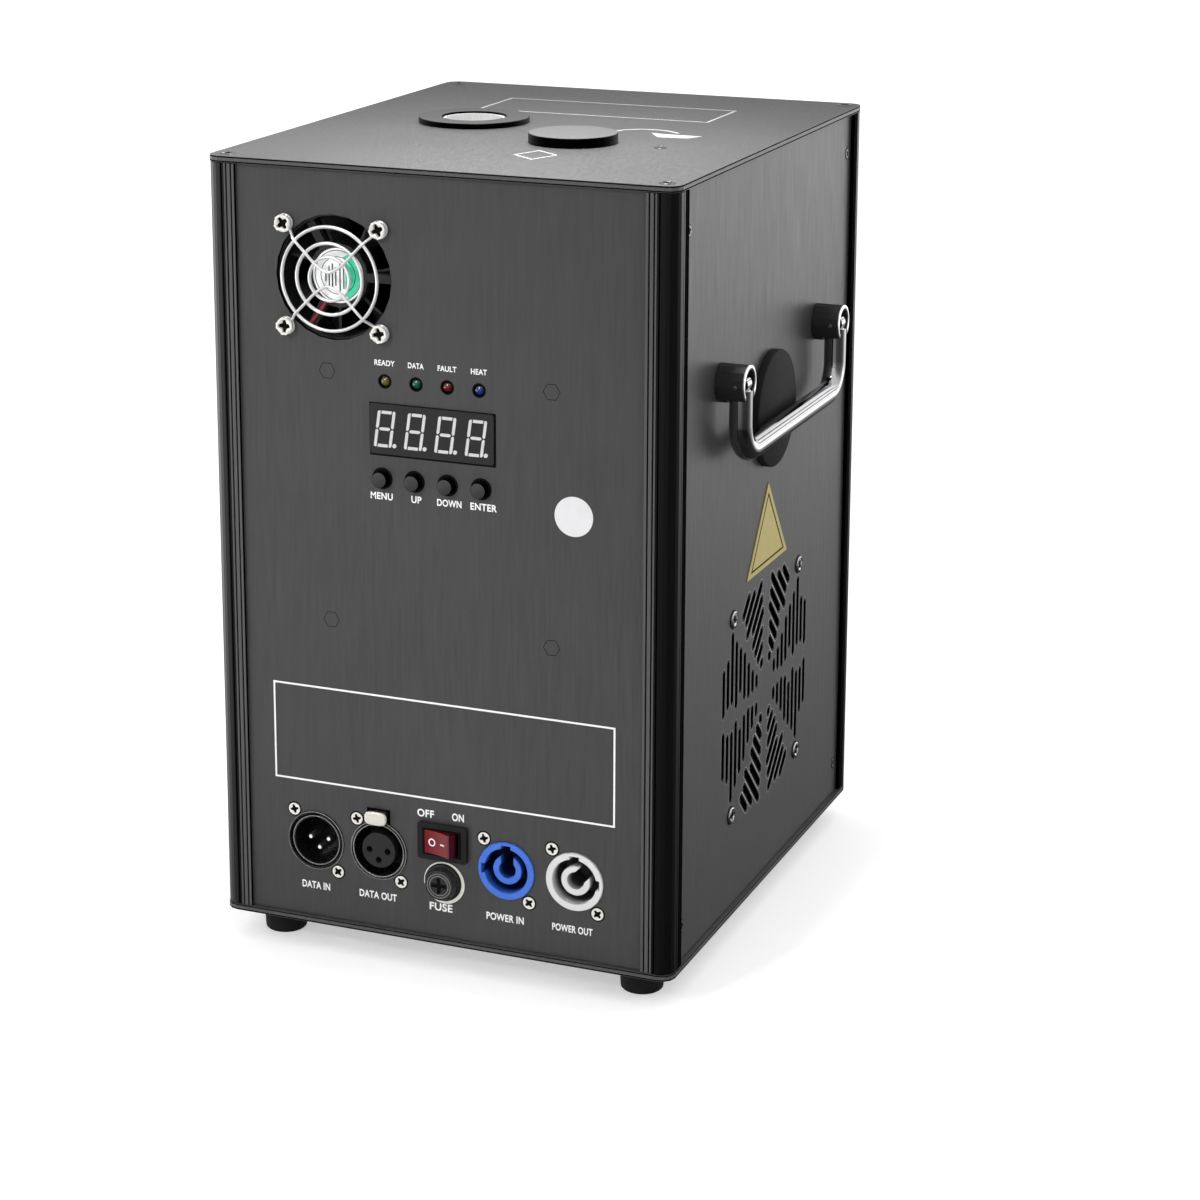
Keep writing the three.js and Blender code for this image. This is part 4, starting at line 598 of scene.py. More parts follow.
guard_parts = []
for radius in GUARD_RINGS:
    ring = [(x, y, GUARD_RISE) for x, y in disc(radius, 96)]
    guard_parts.append(bent_wire("ring", [(ring, True)], GUARD_WIRE))
for side in (1, -1):
    guard_parts.append(bent_wire("cross_wire", [(guard_cross(side), False)], CROSS_WIRE))
for sx in (-1, 1):
    for sy in (-1, 1):
        eyelet = [(x, y, EYELET_RISE) for x, y in disc(EYELET, 32, sx * FAN_HOLE, sy * FAN_HOLE)]
        guard_parts.append(bent_wire("eyelet", [(eyelet, True)], CROSS_WIRE))
guard = join_pieces("guard_wires", guard_parts)
material = flecked("guard_plating", 0.95, 1.0, 300, 3, Metallic=0.6, Roughness=0.28)
seat(guard, "front", FAN_X, FAN_Y, 0, material, stands_for="fan_guard")
for i, (sx, sy) in enumerate(CORNERS.values()):
    x, y = FAN_X + sx * FAN_HOLE, FAN_Y + sy * FAN_HOLE
    screw(f"fan_screw_{i}", "front", x, y, 1.5, 3.45, 1.9, PLATED_SCREW, 0, 12 * i)

LABEL_WHITE = flecked("fan_label", 0.9, 1.0, 400, Roughness=0.6, Specular_IOR_Level=0.1)
green = (0.02, 0.45, 0.25), (0.14, 0.78, 0.52)
LABEL_GREEN = flecked("fan_label_green", *green, 300, Roughness=0.6, Specular_IOR_Level=0.1)
HUB_FACE, LINE = -4.1, 0.25
lune = [*disc(9.6, 24, 0, 0, -62, 124), *reversed(disc(8.6, 24, -2.6, 0, -58, 116))]
RULES = (-5.2, 4), (-3.8, 8), (-2.4, 10), (-1, 7), (0.8, 11), (2.4, 9)
for name, outlines, low, high, material in (
    ("hub_label", [disc(10.7, 64)], 0, 0.12, LABEL_WHITE),
    ("hub_label_rim", [lune], 0.1, 0.16, LABEL_GREEN),
    ("hub_label_field", [disc(6.8, 20, -0.6, 0, -58, 116)], 0.1, 0.16, LABEL_GREEN),
    ("hub_label_line_0", [disc(9.9, 64), disc(9.9 - LINE, 64)], 0.12, 0.18, SHADE_AND_PRINT_BLACK),
    ("hub_label_line_1", [disc(7.4, 64), disc(7.4 - LINE, 64)], 0.12, 0.18, SHADE_AND_PRINT_BLACK),
    ("hub_label_rules", [rectangle(x, -0.5, 0.5, tall) for x, tall in RULES], 0.12, 0.18, SHADE_AND_PRINT_BLACK),
):
    seat(cast(name, outlines, low, high), "front", FAN_X, FAN_Y, HUB_FACE, material)
material = flecked("red_lead", (0.2, 0.012, 0.02), (0.42, 0.04, 0.05), 600, Roughness=0.4)
lead_path = [(-5.2, -10.8, -3.5), (-8.6, -15.4, -3.5), (-13.4, -21.4, -3.5)]
lead = bent_wire("fan_lead", [(lead_path, False)], 0.7)
seat(lead, "front", FAN_X, FAN_Y, 0, material)


# Panel lamps: four 5 mm tinted lenses in their holes, amber, green, red and blue, painted darker towards the
# rim as painted shade, each ringed in its hole by painted shade.
# Above each stands its name in white print, like all the lettering of the panel.
LAMPS = {
    "ready": (-22.15, "READY", 8.6, (0.01, 0.008, 0.002), (0.1, 0.085, 0.02)),
    "signal": (-9.06, "DATA", 6.6, (0.0, 0.008, 0.006), (0.003, 0.06, 0.038)),
    "fault": (3.92, "FAULT", 7.8, (0.012, 0.001, 0.002), (0.09, 0.005, 0.011)),
    "heat": (17.04, "HEAT", 6.6, (0.001, 0.003, 0.02), (0.006, 0.025, 0.14)),
}
LAMP_Y, LAMP_RADIUS, LAMP_RISE, LAMP_PRINT_Y = 238.2, 2.45, 0.5, 245.4
PALE_REACH, SHADE_REACH = 0.0008, 0.0024


def ramp(value, start, end):
    """A share that rises from 0 to 1 while a value goes from start to end."""
    return value.node("ShaderNodeMapRange", None, {"Value": value, "From Min": start, "From Max": end})


for name, (x, word, wide, shade_tone, pale) in LAMPS.items():
    material, shader, place = finish(f"{name}_lens", pale, Roughness=0.08, Coat_Weight=0.8)
    centre = (x * MM, 0, LAMP_Y * MM)
    reach = vector_math("DISTANCE", vector_math("MULTIPLY", place, (1, 0, 1)), centre, 1)
    # Painted shade: the lens darkens from its pale tone towards the rim.
    between(ramp(reach, PALE_REACH, SHADE_REACH), pale, shade_tone).into(shader.inputs["Base Color"])
    dome = disc(LAMP_RADIUS, 10, 0, LAMP_RISE - LAMP_RADIUS, 0, 90)[:10]
    profile = [(0, -8.2), (2.9, -8.2), (2.9, -7.2), (LAMP_RADIUS, -7.2), *dome, (0, LAMP_RISE)]
    seat(turned(f"{name}_lens", profile, 40), "front", x, LAMP_Y, 0, material, stands_for=f"lamp_{name}")
    # A dark ring of painted shade round each lens in its hole.
    rim = cast(f"{name}_lamp_hole_shade", [disc(2.85, 40), disc(2.3, 40)], 0, 0.05)
    seat(rim, "front", x, LAMP_Y, 0, SHADE_AND_PRINT_BLACK)

WHITE_PRINT = flecked("white_print", 0.72, 0.86, 1500, Roughness=0.5)
PRINT_RISE = 0.05


def lettering(words):
    """Bold capitals as thin print: (text, middle x, middle y, width, height)."""
    parts = []
    for text, x, y, wide, tall in words:
        curve = bpy.data.curves.new("print", "FONT")
        curve.body, curve.align_x, curve.align_y = text, "CENTER", "CENTER"
        curve.size, curve.offset, curve.space_character = 1.0, 0.026, 1.06
        mesh = meshed("print", curve)
        ys = [v.co.y for v in mesh.vertices]
        xs = [v.co.x for v in mesh.vertices]
        middle = Matrix.Translation((-(max(xs) + min(xs)) / 2, -(max(ys) + min(ys)) / 2, 0))
        scale = Matrix.Diagonal((wide / (max(xs) - min(xs)), tall / (max(ys) - min(ys)), 1, 1))
        mesh.transform(Matrix.Translation((x, y, PRINT_RISE)) @ scale @ middle)
        parts.append(placed("print", mesh))
    return parts


lamp_words = [(word, x, LAMP_PRINT_Y, wide, 2.2) for x, word, wide, shade_tone, pale in LAMPS.values()]
seat(join_pieces("lamp_names", lettering(lamp_words)), "front", 0, 0, 0, WHITE_PRINT)


# Display: four unlit seven-segment digits, pale on a dark potted block that stands a little proud. The
# digits lean to the right and each has its point.
material = flecked("display_face", 0.01, (0.018, 0.018, 0.019), 900, Roughness=0.42)
dress_nodes(["display_module"], material, 0.0002)
low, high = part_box("display_module")
# A dark sheet under the block, reaching further out below it and to its right, is painted shade and shadow
# round its edges.
left, bottom, right, top = (v / MM for v in (low.x, low.z, high.x, high.z))
left, bottom, right, top = left - 0.2, bottom - 0.9, right + 0.6, top + 0.2
window = [(left, bottom), (right, bottom), (right, top), (left, top)]
seat(cast("display_shade_band", [window], 0, 0.04), "front", 0, 0, 0, SHADE_AND_PRINT_BLACK)
material = flecked("digit_segments", (0.48, 0.48, 0.47), (0.6, 0.6, 0.59), 700, Roughness=0.45)
DIGIT_X, DIGIT_Y, DIGIT_PITCH, DIGIT_TALL, DIGIT_WIDE = -3.04, 219.7, 12.7, 14.4, 7.5
BAR, BAR_GAP, LEAN = 1.2, 0.14, math.tan(math.radians(8))


def digit(x):
    """The seven bars and the point of one digit, as outlines that lean to the right."""
    w, h, t, g, m = DIGIT_WIDE / 2, DIGIT_TALL / 2, BAR, BAR_GAP, BAR / 2
    level, tip = w - t - g - 0.3, w - t - g
    upper = [(w - t, h - 0.1), (w - t * 0.35, h - 0.05), (w, h - m)]
    upright = [*upper, (w, t * 0.35 + g), (w - m, g), (w - t, m + g)]
    bars = []
    for sy in (1, -1):
        bars.append([(-level, sy * h), (level, sy * h), (level, sy * (h - t)), (-level, sy * (h - t))])
        for sx in (1, -1):
            bars.append([(sx * px, sy * py) for px, py in upright])
    bars.append([(-tip, 0), (m - tip, m), (tip - m, m), (tip, 0), (tip - m, -m), (m - tip, -m)])
    bars.append(disc(0.85, 16, w + 1.15, -h + 0.85))
    return [[(x + px + py * LEAN, DIGIT_Y + py) for px, py in bar] for bar in bars]


segments = [bar for i in range(4) for bar in digit(DIGIT_X + (i - 1.5) * DIGIT_PITCH)]
seat(cast("digit_bars", segments, 0.8, 0.86), "front", 0, 0, 0, material)


# Push-buttons: four moulded black caps that stand well out of their holes, painted black on the side as
# painted shade and paler on the face. Behind them are the two boards, and on the panel the outlines of its
# pressed-in studs.
BUTTON_PLASTIC = flecked("button_plastic", 0.007, 0.018, 800, 3, rough=(0.36, 0.14))
material, shader, place = finish("button_cap", 0.028, Roughness=0.5)
FACE_RISE = 0.00345
rise = FRONT_FACE - coordinate(place, 1)
# Painted shade: the caps' sides go black and metallic; their faces take a paler tone.
shaded_flank = rise.math("LESS_THAN", rise, FACE_RISE)
face_tone = between(noise(place, 800, 3), 0.022, 0.034)
between(shaded_flank, face_tone, 0.004).into(shader.inputs["Base Color"])
shaded_flank.into(shader.inputs["Metallic"])
(0.5 + shaded_flank * 0.3).into(shader.inputs["Roughness"])
BUTTON_CAP = material
BUTTONS = {
    "menu": (-23.7, "MENU", -24.1, 9.4),
    "up": (-10.1, "UP", -9.4, 4.3),
    "down": (3.8, "DOWN", 4.4, 10.2),
    "enter": (17.7, "ENTER", 18.7, 11.0),
}
BUTTON_Y, BUTTON_PRINT_Y = 199.9, 192.8
COLLAR = [(0, -3.1), (3.2, -3.1), (3.2, -2.8), (4.9, -2.8), (4.9, -1.8), (3.2, -1.8)]
BUTTON_PROFILE = [*COLLAR, (3.2, 3.1), (3.05, 3.4), (2.7, 3.55), (0, 3.6)]
for name, (x, word, word_x, wide) in BUTTONS.items():
    cap = turned(f"{name}_cap", BUTTON_PROFILE, 48)
    seat(cap, "front", x, BUTTON_Y, 0, BUTTON_CAP, body=f"{name}_key", stands_for=f"button_{name}")
    # A dark ring of painted shade round each cap in its hole.
    rim = cast(f"{name}_hole", [disc(4.3, 48), disc(3.35, 48)], 0, 0.05)
    seat(rim, "front", x, BUTTON_Y, 0, SHADE_AND_PRINT_BLACK)
button_words = [(word, word_x, BUTTON_PRINT_Y, wide, 2.8) for x, word, word_x, wide in BUTTONS.values()]
seat(join_pieces("button_names", lettering(button_words)), "front", 0, 0, 0, WHITE_PRINT)
for name in ("display_board", "main_board"):
    material = flecked(f"{name}_mask", (0.012, 0.09, 0.035), (0.03, 0.16, 0.07), 220, 5, Roughness=0.35)
    dress(nodes[name], material)

STUDS = [(x, y) for x in (-46.6, 46.6) for y in (240.3, 140.4)]
stud_parts = [cast("stud", [disc(3.5, 6, x, y), disc(3.28, 6, x, y)], 0.0, 0.05) for x, y in STUDS]
seat(join_pieces("stud_ends", stud_parts), "front", 0, 0, 0, SHADE_AND_PRINT_BLACK)


# White frame and round sticker: a rectangle of white print on the panel, bare inside, and above it on the
# right a plain disc of silvery film, stuck on flat.
def frame_line(left, right, low, high, width):
    """A rectangular line of a width, as its outer and inner outline."""
    insides = ((left + d, right - d, low + d, high - d) for d in (0, width))
    return [[(l, b), (r, b), (r, t), (l, t)] for l, r, b, t in insides]


frame_print = cast("rating_frame", frame_line(-72.9, 72.8, 71.5, 111.9, 0.75), 0, PRINT_RISE)
seat(frame_print, "front", 0, 0, 0, WHITE_PRINT)
silver = (0.67, 0.67, 0.68), (0.75, 0.75, 0.76)
material = flecked("silver_sticker", *silver, 250, 3, Metallic=0.1, Roughness=0.4)
STICKER_X, STICKER_Y, STICKER = 55.6, 193.1, 7.8
seat(cast("round_sticker", [disc(STICKER, 64)], 0, 0.12, 0.04), "front", STICKER_X, STICKER_Y, 0, material)


# Round sockets: two black data sockets, the outlet with a sprung metal release tab, and two power sockets,
# blue for the inlet and pale grey for the outlet. Each is moulded with its keyways and held by two bright
# screws on a slant.
def carve(piece, tools):
    """Cuts the tools out of a piece and drops them."""
    for tool in tools:
        cut = piece.modifiers.new("cut", "BOOLEAN")
        cut.object, cut.solver = tool, "EXACT"
    mesh = bpy.data.meshes.new_from_object(piece.evaluated_get(bpy.context.evaluated_depsgraph_get()))
    piece.modifiers.clear()
    piece.data = mesh
    for tool in tools:
        bpy.data.objects.remove(tool)
    return piece


SOCKET_Y, DATA_IN_X, DATA_OUT_X, POWER_IN_X, POWER_OUT_X = 46.9, -55.1, -27.4, 27.6, 56.3
SHELL, DEPTH, SCREW_ACROSS, SCREW_UP = 12.15, 20, 9.5, 12
PINS = [(-3.96, 0), (3.96, 0), (0, -3.96)]
SOCKET_BLACK = flecked("socket_black", 0.003, 0.009, 600, 3, rough=(0.2, 0.12))


def depth_shaded_finish(name, pale, shade_tone, start, end):
    """A finish with painted shade, whose tone sinks between two heights in millimetres from the panel's
    face.
    """
    material, shader, place = finish(name, pale, Roughness=0.4)
    depth_shade = ramp(coordinate(place, 1), FRONT_FACE - start * MM, FRONT_FACE - end * MM)
    between(depth_shade * 0.94 + noise(place, 500, 3) * 0.06, pale, shade_tone).into(shader.inputs["Base Color"])
    return material


RIM = [(SHELL, 0.45), (11.8, 0.8), (11.4, 0.8), (11.2, 0.6), (11.2, -1)]
CUP = [(10.1, -1), (10.1, -0.1), (9.95, 0), (9.5, 0), (9.5, -14), (0, -14)]
inlet = turned("data_inlet_barrel", [(0, -DEPTH), (SHELL, -DEPTH), *RIM, *CUP], 96)
inlet = carve(inlet, [cast("key", [rectangle(0, 10.2, 3, 2.8)], -7, 1.8)])
seat(inlet, "front", DATA_IN_X, SOCKET_Y, 0, SOCKET_BLACK, stands_for="data_inlet")
# Thin pale beads round the data sockets' rims are painted highlights.
RIM_HIGHLIGHT, BEAD = flecked("painted_rim_highlight", 0.18, 0.3, 500, Roughness=0.25), 0.2
for name, x, radius, z in (
    ("data_inlet_rim", DATA_IN_X, 12.0, 0.5),
    ("data_inlet_cup", DATA_IN_X, 10.25, 0.0),
    ("data_outlet_rim", DATA_OUT_X, 12.0, 0.5),
    ("data_outlet_cup", DATA_OUT_X, 10.95, 0.6),
):
    bead = bent_wire(name, [([(px, py, z) for px, py in disc(radius, 96)], True)], BEAD, 2)
    seat(bead, "front", x, SOCKET_Y, 0, RIM_HIGHLIGHT)
pin_parts = []
for x, y in PINS:
    pin = turned("pin", [(0, -14), (1.15, -14), (1.15, -3.4), (0.95, -2.8), (0.5, -2.5), (0, -2.45)], 20)
    pin.data.transform(Matrix.Translation((x, y, 0)))
    pin_parts.append(pin)
# The pins are bright at their tips and painted dark below them as painted shade.
material = depth_shaded_finish("pin_tips", (0.95, 0.95, 0.93), 0.004, -2.55, -2.75)
seat(join_pieces("data_inlet_pins", pin_parts), "front", DATA_IN_X, SOCKET_Y, 0, material)

material = flecked("insert_black", 0.01, 0.022, 900, 3, Roughness=0.5)
LIP = [(SHELL, 0.2), (11.95, 0.65), (11.5, 0.85), (11.05, 0.7), (10.7, 0.3)]
outlet = turned("data_outlet_ring", [(10.7, -14), (SHELL, -14), *LIP], 96, True)
outlet = carve(outlet, [cast("notch", [rectangle(0, 15.2, 10.1, 7.9)], 0.4, 2)])
seat(outlet, "front", DATA_OUT_X, SOCKET_Y, 0, SOCKET_BLACK)
insert_profile = [(0, -DEPTH), (SHELL, -DEPTH), (SHELL, -14), (7.3, -14), (7.3, 0.35), (7.05, 0.6), (0, 0.6)]
insert = turned("data_outlet_insert", insert_profile, 96)
insert = carve(insert, [cast("hole", [disc(1.3, 24, x, y)], -8, 1) for x, y in PINS])
seat(insert, "front", DATA_OUT_X, SOCKET_Y, 0, material, stands_for="data_outlet")

brushed = {"rough": (0.28, 0.16), "stretch": (0.05, 1, 1), "Metallic": 0.4}
material = flecked("tab_steel", (0.78, 0.74, 0.66), (0.94, 0.9, 0.83), 1400, 3, **brushed)
TAB_Y, TAB_REACH, TAB_HALF, SQUARENESS = 14.3, 4.75, 2.82, 0.62
tab_shape = []
for across, up in disc(1, 40):
    across, up = (math.copysign(abs(v) ** SQUARENESS, v) for v in (across, up))
    tab_shape.append((TAB_REACH * across, TAB_Y + TAB_HALF * up))
tab = cast("release_tab_cap", [tab_shape], 2.1, 3.7, 0.75)
seat(tab, "front", DATA_OUT_X, SOCKET_Y, 0, material, body="release_tab", stands_for="data_outlet_latch")
stem = cast("release_tab_stem", [[(-3.2, 11.8), (4.2, 11.8), (4.2, 16.9), (-3.2, 16.9)]], -6.9, 2.1, 0.4)
seat(stem, "front", DATA_OUT_X, SOCKET_Y, 0, SOCKET_BLACK, body="release_tab")


def power_socket(name, x, keys, mouth, material, node):
    """A collar and a core in one moulding, with keyways at some angles and the core's mouth at another."""
    collar = [(0, -DEPTH), (11.85, -DEPTH), (11.85, 0.6), (11.6, 0.9), (9.4, 0.9), (9.15, 0.65), (9.15, -14)]
    core = [(6, -14), (6, -0.8), (5.8, -0.6), (3.7, -0.6), (3.5, -0.8), (3.5, -14), (0, -14)]
    body = turned(name, collar + core, 96)
    tools = [cast("key", [rectangle(9.15, 0, 2.6, 4, a)], -13.9, 2.2) for a in keys]
    tools.append(cast("mouth", [rectangle(4, 0, 6, 5.4, mouth)], -13.9, 2.2))
    seat(carve(body, tools), "front", x, SOCKET_Y, 0, material, stands_for=node)


# The shells darken into their wells as painted shade.
material = depth_shaded_finish("blue_shell", (0.035, 0.14, 0.6), (0.002, 0.012, 0.07), -0.8, -4)
power_socket("power_inlet_shell", POWER_IN_X, (90, 180), 90, material, "power_inlet")
material = depth_shaded_finish("grey_shell", 0.62, 0.04, -0.8, -5)
power_socket("power_outlet_shell", POWER_OUT_X, (90, 0), 45, material, "power_outlet")
sockets = "data_inlet", "data_outlet", "power_inlet", "power_outlet"
for name, x in zip(sockets, (DATA_IN_X, DATA_OUT_X, POWER_IN_X, POWER_OUT_X)):
    for i, s in enumerate((-1, 1)):
        spot = (x + s * SCREW_ACROSS, SOCKET_Y - s * SCREW_UP, 0)
        screw(f"{name}_screw_{i}", "front", *spot, 2.5, 0.35, PLATED_SCREW, 0.55, 15 + 25 * i)
socket_words = [
    ("DATA IN", -55.6, 27.6, 12.4, 3.1),
    ("DATA OUT", -28.1, 27.6, 16.4, 3.1),
    ("FUSE", -0.6, 27.0, 9.9, 3.3),
    ("POWER IN", 26.9, 26.9, 15.9, 3.1),
    ("POWER OUT", 55.3, 26.9, 16.9, 3.0),
    ("OFF", -6.9, 65.5, 7.2, 3.2),
    ("ON", 7.0, 65.7, 5.1, 3.2),
]
seat(join_pieces("socket_names", lettering(socket_words)), "front", 0, 0, 0, WHITE_PRINT)


# Rocker switch: a black snap-in housing and a translucent red rocker, off, with its right end raised. The
# rocker's two marks are printed on its dished face, which is painted darker towards its raised end as
# painted shade.
material, shader, place = finish("switch_black", 0.01, Roughness=0.5, Specular_IOR_Level=0.3)
between(noise(place, 1800, 4), 0.005, 0.016).into(shader.inputs["Base Color"])
grain(shader, noise(place, 2600, 2), 0.3, 0.00006)
dress_nodes(["switch_housing"], material, 0.0003)
material, shader, place = finish("rocker_red", (0.1, 0.004, 0.007), Roughness=0.2, Specular_IOR_Level=0.3)
along = coordinate(place, 0)
# Painted shade: the red darkens towards the raised end.
shaded_far, end = ramp(along, 0.0042, 0.0052), ramp(along, 0.0064, 0.0072)
shade = shaded_far * 0.55 + end * 0.4 + noise(place, 260, 3) * 0.2
between(shade, (0.16, 0.007, 0.011), (0.006, 0.0, 0.0)).into(shader.inputs["Base Color"])
dress_nodes(["switch_rocker"], material, 0.0003)
ROCKER_X, ROCKER_Y, PIVOT_OUT, TILT = 0.8, 54.8, -0.8, math.radians(15.6)
FACE_OUT, DISH, DISH_REACH = 4.8, 0.7, 6.13
# A dark frame of painted shade round the rocker, where its gap in the housing is.
openings = [rectangle(ROCKER_X, ROCKER_Y, 16.6, 11.2), rectangle(ROCKER_X, ROCKER_Y, 14.2, 9.6)]
seat(cast("rocker_gap_shade", openings, 0, 0.05), "front", 0, 0, 2, SHADE_AND_PRINT_BLACK)


def on_rocker(piece, x):
    """Lays a thin mark on the rocker's dished face at x along it."""
    lean, sag = math.atan(2 * DISH * x / DISH_REACH**2), DISH * (1 - (x / DISH_REACH) ** 2)
    piece.data.transform(
        Matrix.Translation((ROCKER_X, ROCKER_Y, PIVOT_OUT))
        @ Matrix.Rotation(-TILT, 4, "Y")
        @ Matrix.Translation((x, 0, FACE_OUT - sag + PRINT_RISE))
        @ Matrix.Rotation(-lean, 4, "Y")
    )
    seat(piece, "front", 0, 0, 0, WHITE_PRINT, body="rocker")


on_rocker(cast("rocker_mark_off", [disc(1.6, 32), disc(1.12, 32)], -0.02, 0.02), -2.9)
on_rocker(cast("rocker_mark_on", [rectangle(0, 0, 2.1, 0.55)], -0.02, 0.02), 2.3)


# Fuse holder: a flanged black barrel on a thin bright washer and a rubber gasket, and its cap with a cross
# slot. The cap holds a glass cartridge that comes out with it.
material = flecked("fuse_black", 0.012, 0.03, 700, 3, rough=(0.3, 0.14))
dress_nodes(("fuse_holder", "fuse_cap"), material, 0.0002)
FUSE_X, FUSE_Y = 0.6, 37.9
washer = turned("fuse_washer", [(6.9, 0.02), (8.6, 0.02), (8.75, 0.15), (8.6, 0.28), (6.9, 0.28)], 64, True)
seat(washer, "front", FUSE_X + 0.35, FUSE_Y - 0.3, 0, PLATED_SCREW)
GASKET = [(6.95, 0.28), (7.75, 0.28), (7.75, 0.9), (7.5, 1.15), (6.95, 1.15)]
gasket = turned("fuse_gasket", GASKET, 64, True)
seat(gasket, "front", FUSE_X, FUSE_Y, 0, RUBBER_FINISH)
cap_face = (nodes["fuse_cap"].bound_box[0][1] - FRONT_FACE) / -MM
# A black cross on the cap's face is painted shade in its cross slot.
slot = cast("fuse_cap_slot_shade", [cross(3.1, 0.62, 8)], -0.02, 0.03)
seat(slot, "front", FUSE_X, FUSE_Y, cap_face, SHADE_AND_PRINT_BLACK, body="fuse_knob")
# Two pale rings on the cap's face are painted highlights, in the same finish as the socket rims.
for i, radius in enumerate((5.1, 4.1)):
    groove = cast(f"fuse_cap_highlight_ring_{i}", [disc(radius, 48), disc(radius - 0.25, 48)], -0.02, 0.03)
    seat(groove, "front", FUSE_X, FUSE_Y, cap_face, RIM_HIGHLIGHT, body="fuse_knob")
material = flecked("fuse_glass", (0.7, 0.74, 0.76), (0.86, 0.9, 0.92), 300, Roughness=0.1)
dress_nodes(["fuse_cartridge"], material)


# Carrying handles: on both sides a chromed rod bent to a U, whose eyes turn on pins in two round black
# cups with bright rims. A rubber disc on the panel keeps the bar from striking it.
HANDLE_Y, SPAN, DROP, ROD, BEND, STAND, BUMPER_Y = 237, 60, -28, 4.5, 12, 8.2, 213.5
BUMPER_PROFILE = [(0, 0.3), (23.8, 0.3), (23.8, 2.8), (23.6, 3.2), (23.1, 3.4), (0, 3.4)]
EYE_PROFILE = [(1.5, -2.5), (3.3, -2.5), (3.6, -2.2), (3.6, 2.2), (3.3, 2.5), (1.5, 2.5)]
PIN_PROFILE = [(0, 7.3), (0.9, 7.3), (0.9, 7.85), (0.7, 8.0), (0, 8.0)]
RIM_PROFILE = [(5.65, 11.2), (7.6, 11.2), (7.7, 11.4), (7.5, 11.75), (7.1, 11.9), (6.1, 11.9), (5.65, 11.6)]
CHROME = {"rough": (0.03, 0.07), "Metallic": 1.0}
CHROME_FINISH = flecked("chrome_finish", (0.8, 0.8, 0.81), (0.9, 0.9, 0.91), 260, 4, **CHROME)
# The rods take a darker copy of the chrome, painted shade that tones down their reflections.
SHADED_ROD_CHROME = flecked("shaded_rod_chrome", (0.44, 0.44, 0.45), (0.56, 0.56, 0.57), 260, 4, **CHROME)


def handle_path():
    """The rod's line, from one eye down, along the bar and up to the other."""
    left = [(-SPAN, -2.2), (-SPAN, -8), *disc(BEND, 12, BEND - SPAN, DROP + BEND, 180, 90)]
    return [(x, y, 0) for x, y in left] + [(-x, y, 0) for x, y in reversed(left)]


for wall, sx in (("right", 1), ("left", -1)):
    parts = [bent_wire("rod", [(handle_path(), False)], ROD, 12)]
    for s in (-1, 1):
        eye = turned("eye", EYE_PROFILE, 40, True)
        eye.data.transform(Matrix.Translation((s * SPAN, 0, 0)) @ Matrix.Rotation(math.pi / 2, 4, "Y"))
        parts.append(eye)
    handle = join_pieces(f"{wall}_handle_rod", parts)
    seat(handle, wall, 0, HANDLE_Y, STAND, SHADED_ROD_CHROME, body=f"{wall}_handle", stands_for=f"handle_{wall}")
    bumper = turned(f"{wall}_bumper_disc", BUMPER_PROFILE, 96)
    seat(bumper, wall, 0, BUMPER_Y, 0, RUBBER_FINISH, stands_for=f"bumper_{wall}")
    for end, s in (("front", -sx), ("back", sx)):
        dress_nodes([f"handle_post_{wall}_{end}"], BUTTON_PLASTIC, 0.0002)
        rim = turned(f"{wall}_{end}_cup_rim", RIM_PROFILE, 64, True)
        rim = carve(rim, [cast("leg_room", [rectangle(0, -6, 10, 12)], 10, 14)])
        seat(rim, wall, s * SPAN, HANDLE_Y, 0, CHROME_FINISH)
        pin = turned(f"{wall}_{end}_pin_end", PIN_PROFILE, 20)
        pin.data.transform(Matrix.Translation((0, 0, STAND)) @ Matrix.Rotation(-math.pi / 2, 4, "Y"))
        seat(pin, wall, s * SPAN, HANDLE_Y, 0, BLACK_SCREW)


# Grille: slots cut through the right panel, upright on its two sides and slanted above and below, each
# ringed with painted shadow and a painted highlight outside it. Its four screws hold the intake fan. Each
# pair below is a slot's two ends, in millimetres from the grille's middle.
GRILLE_Y = 95.2
UPRIGHTS = [(3, 9.2), (2.6, 12.8), (1.9, 17.4), (3, 23.3), (7.3, 26.9)]
UPRIGHTS += [(2.5, 31), (5.4, 36), (5.2, 25.9), (2.9, 23.3)]
CHEVRONS = [(3.5, 6.5), (3.8, 10.5), (4.2, 13.9), (3.5, 16.9), (4.9, 17.6)]
CHEVRONS += [(5.8, 24.5), (14.3, 25.8), (21, 29.5)]
UPRIGHT_FIRST, UPRIGHT_PITCH, CHEVRON_FIRST, CHEVRON_PITCH = 11, 5.07, 17, 7.13
SLOT_HALF, UPRIGHT_SHADOW, CHEVRON_SHADOW, INTAKE_HOLE = 1.5, 0.35, 0.65, 41.25


def slot_edge(ax, ay, bx, by, radius):
    """The round-ended outline that lies a radius from a slot's middle line."""
    along = math.atan2(by - ay, bx - ax)
    inset = Vector((math.cos(along), math.sin(along))) * SLOT_HALF
    start = math.degrees(along)
    return [
        *disc(radius, 8, ax + inset.x, ay + inset.y, start + 90, 180),
        *disc(radius, 8, bx - inset.x, by - inset.y, start - 90, 180),
    ]


slots = []
for sx in (-1, 1):
    for sy in (-1, 1):
        for i, (low, high) in enumerate(UPRIGHTS):
            x = sx * (UPRIGHT_FIRST + i * UPRIGHT_PITCH)
            slots.append((x, GRILLE_Y + sy * low, x, GRILLE_Y + sy * high, UPRIGHT_SHADOW))
        for i, ends in enumerate(CHEVRONS):
            crest = CHEVRON_FIRST + i * CHEVRON_PITCH
            inner, outer = ((sx * reach, GRILLE_Y + sy * (crest - reach)) for reach in ends)
            slots.append((*inner, *outer, CHEVRON_SHADOW))
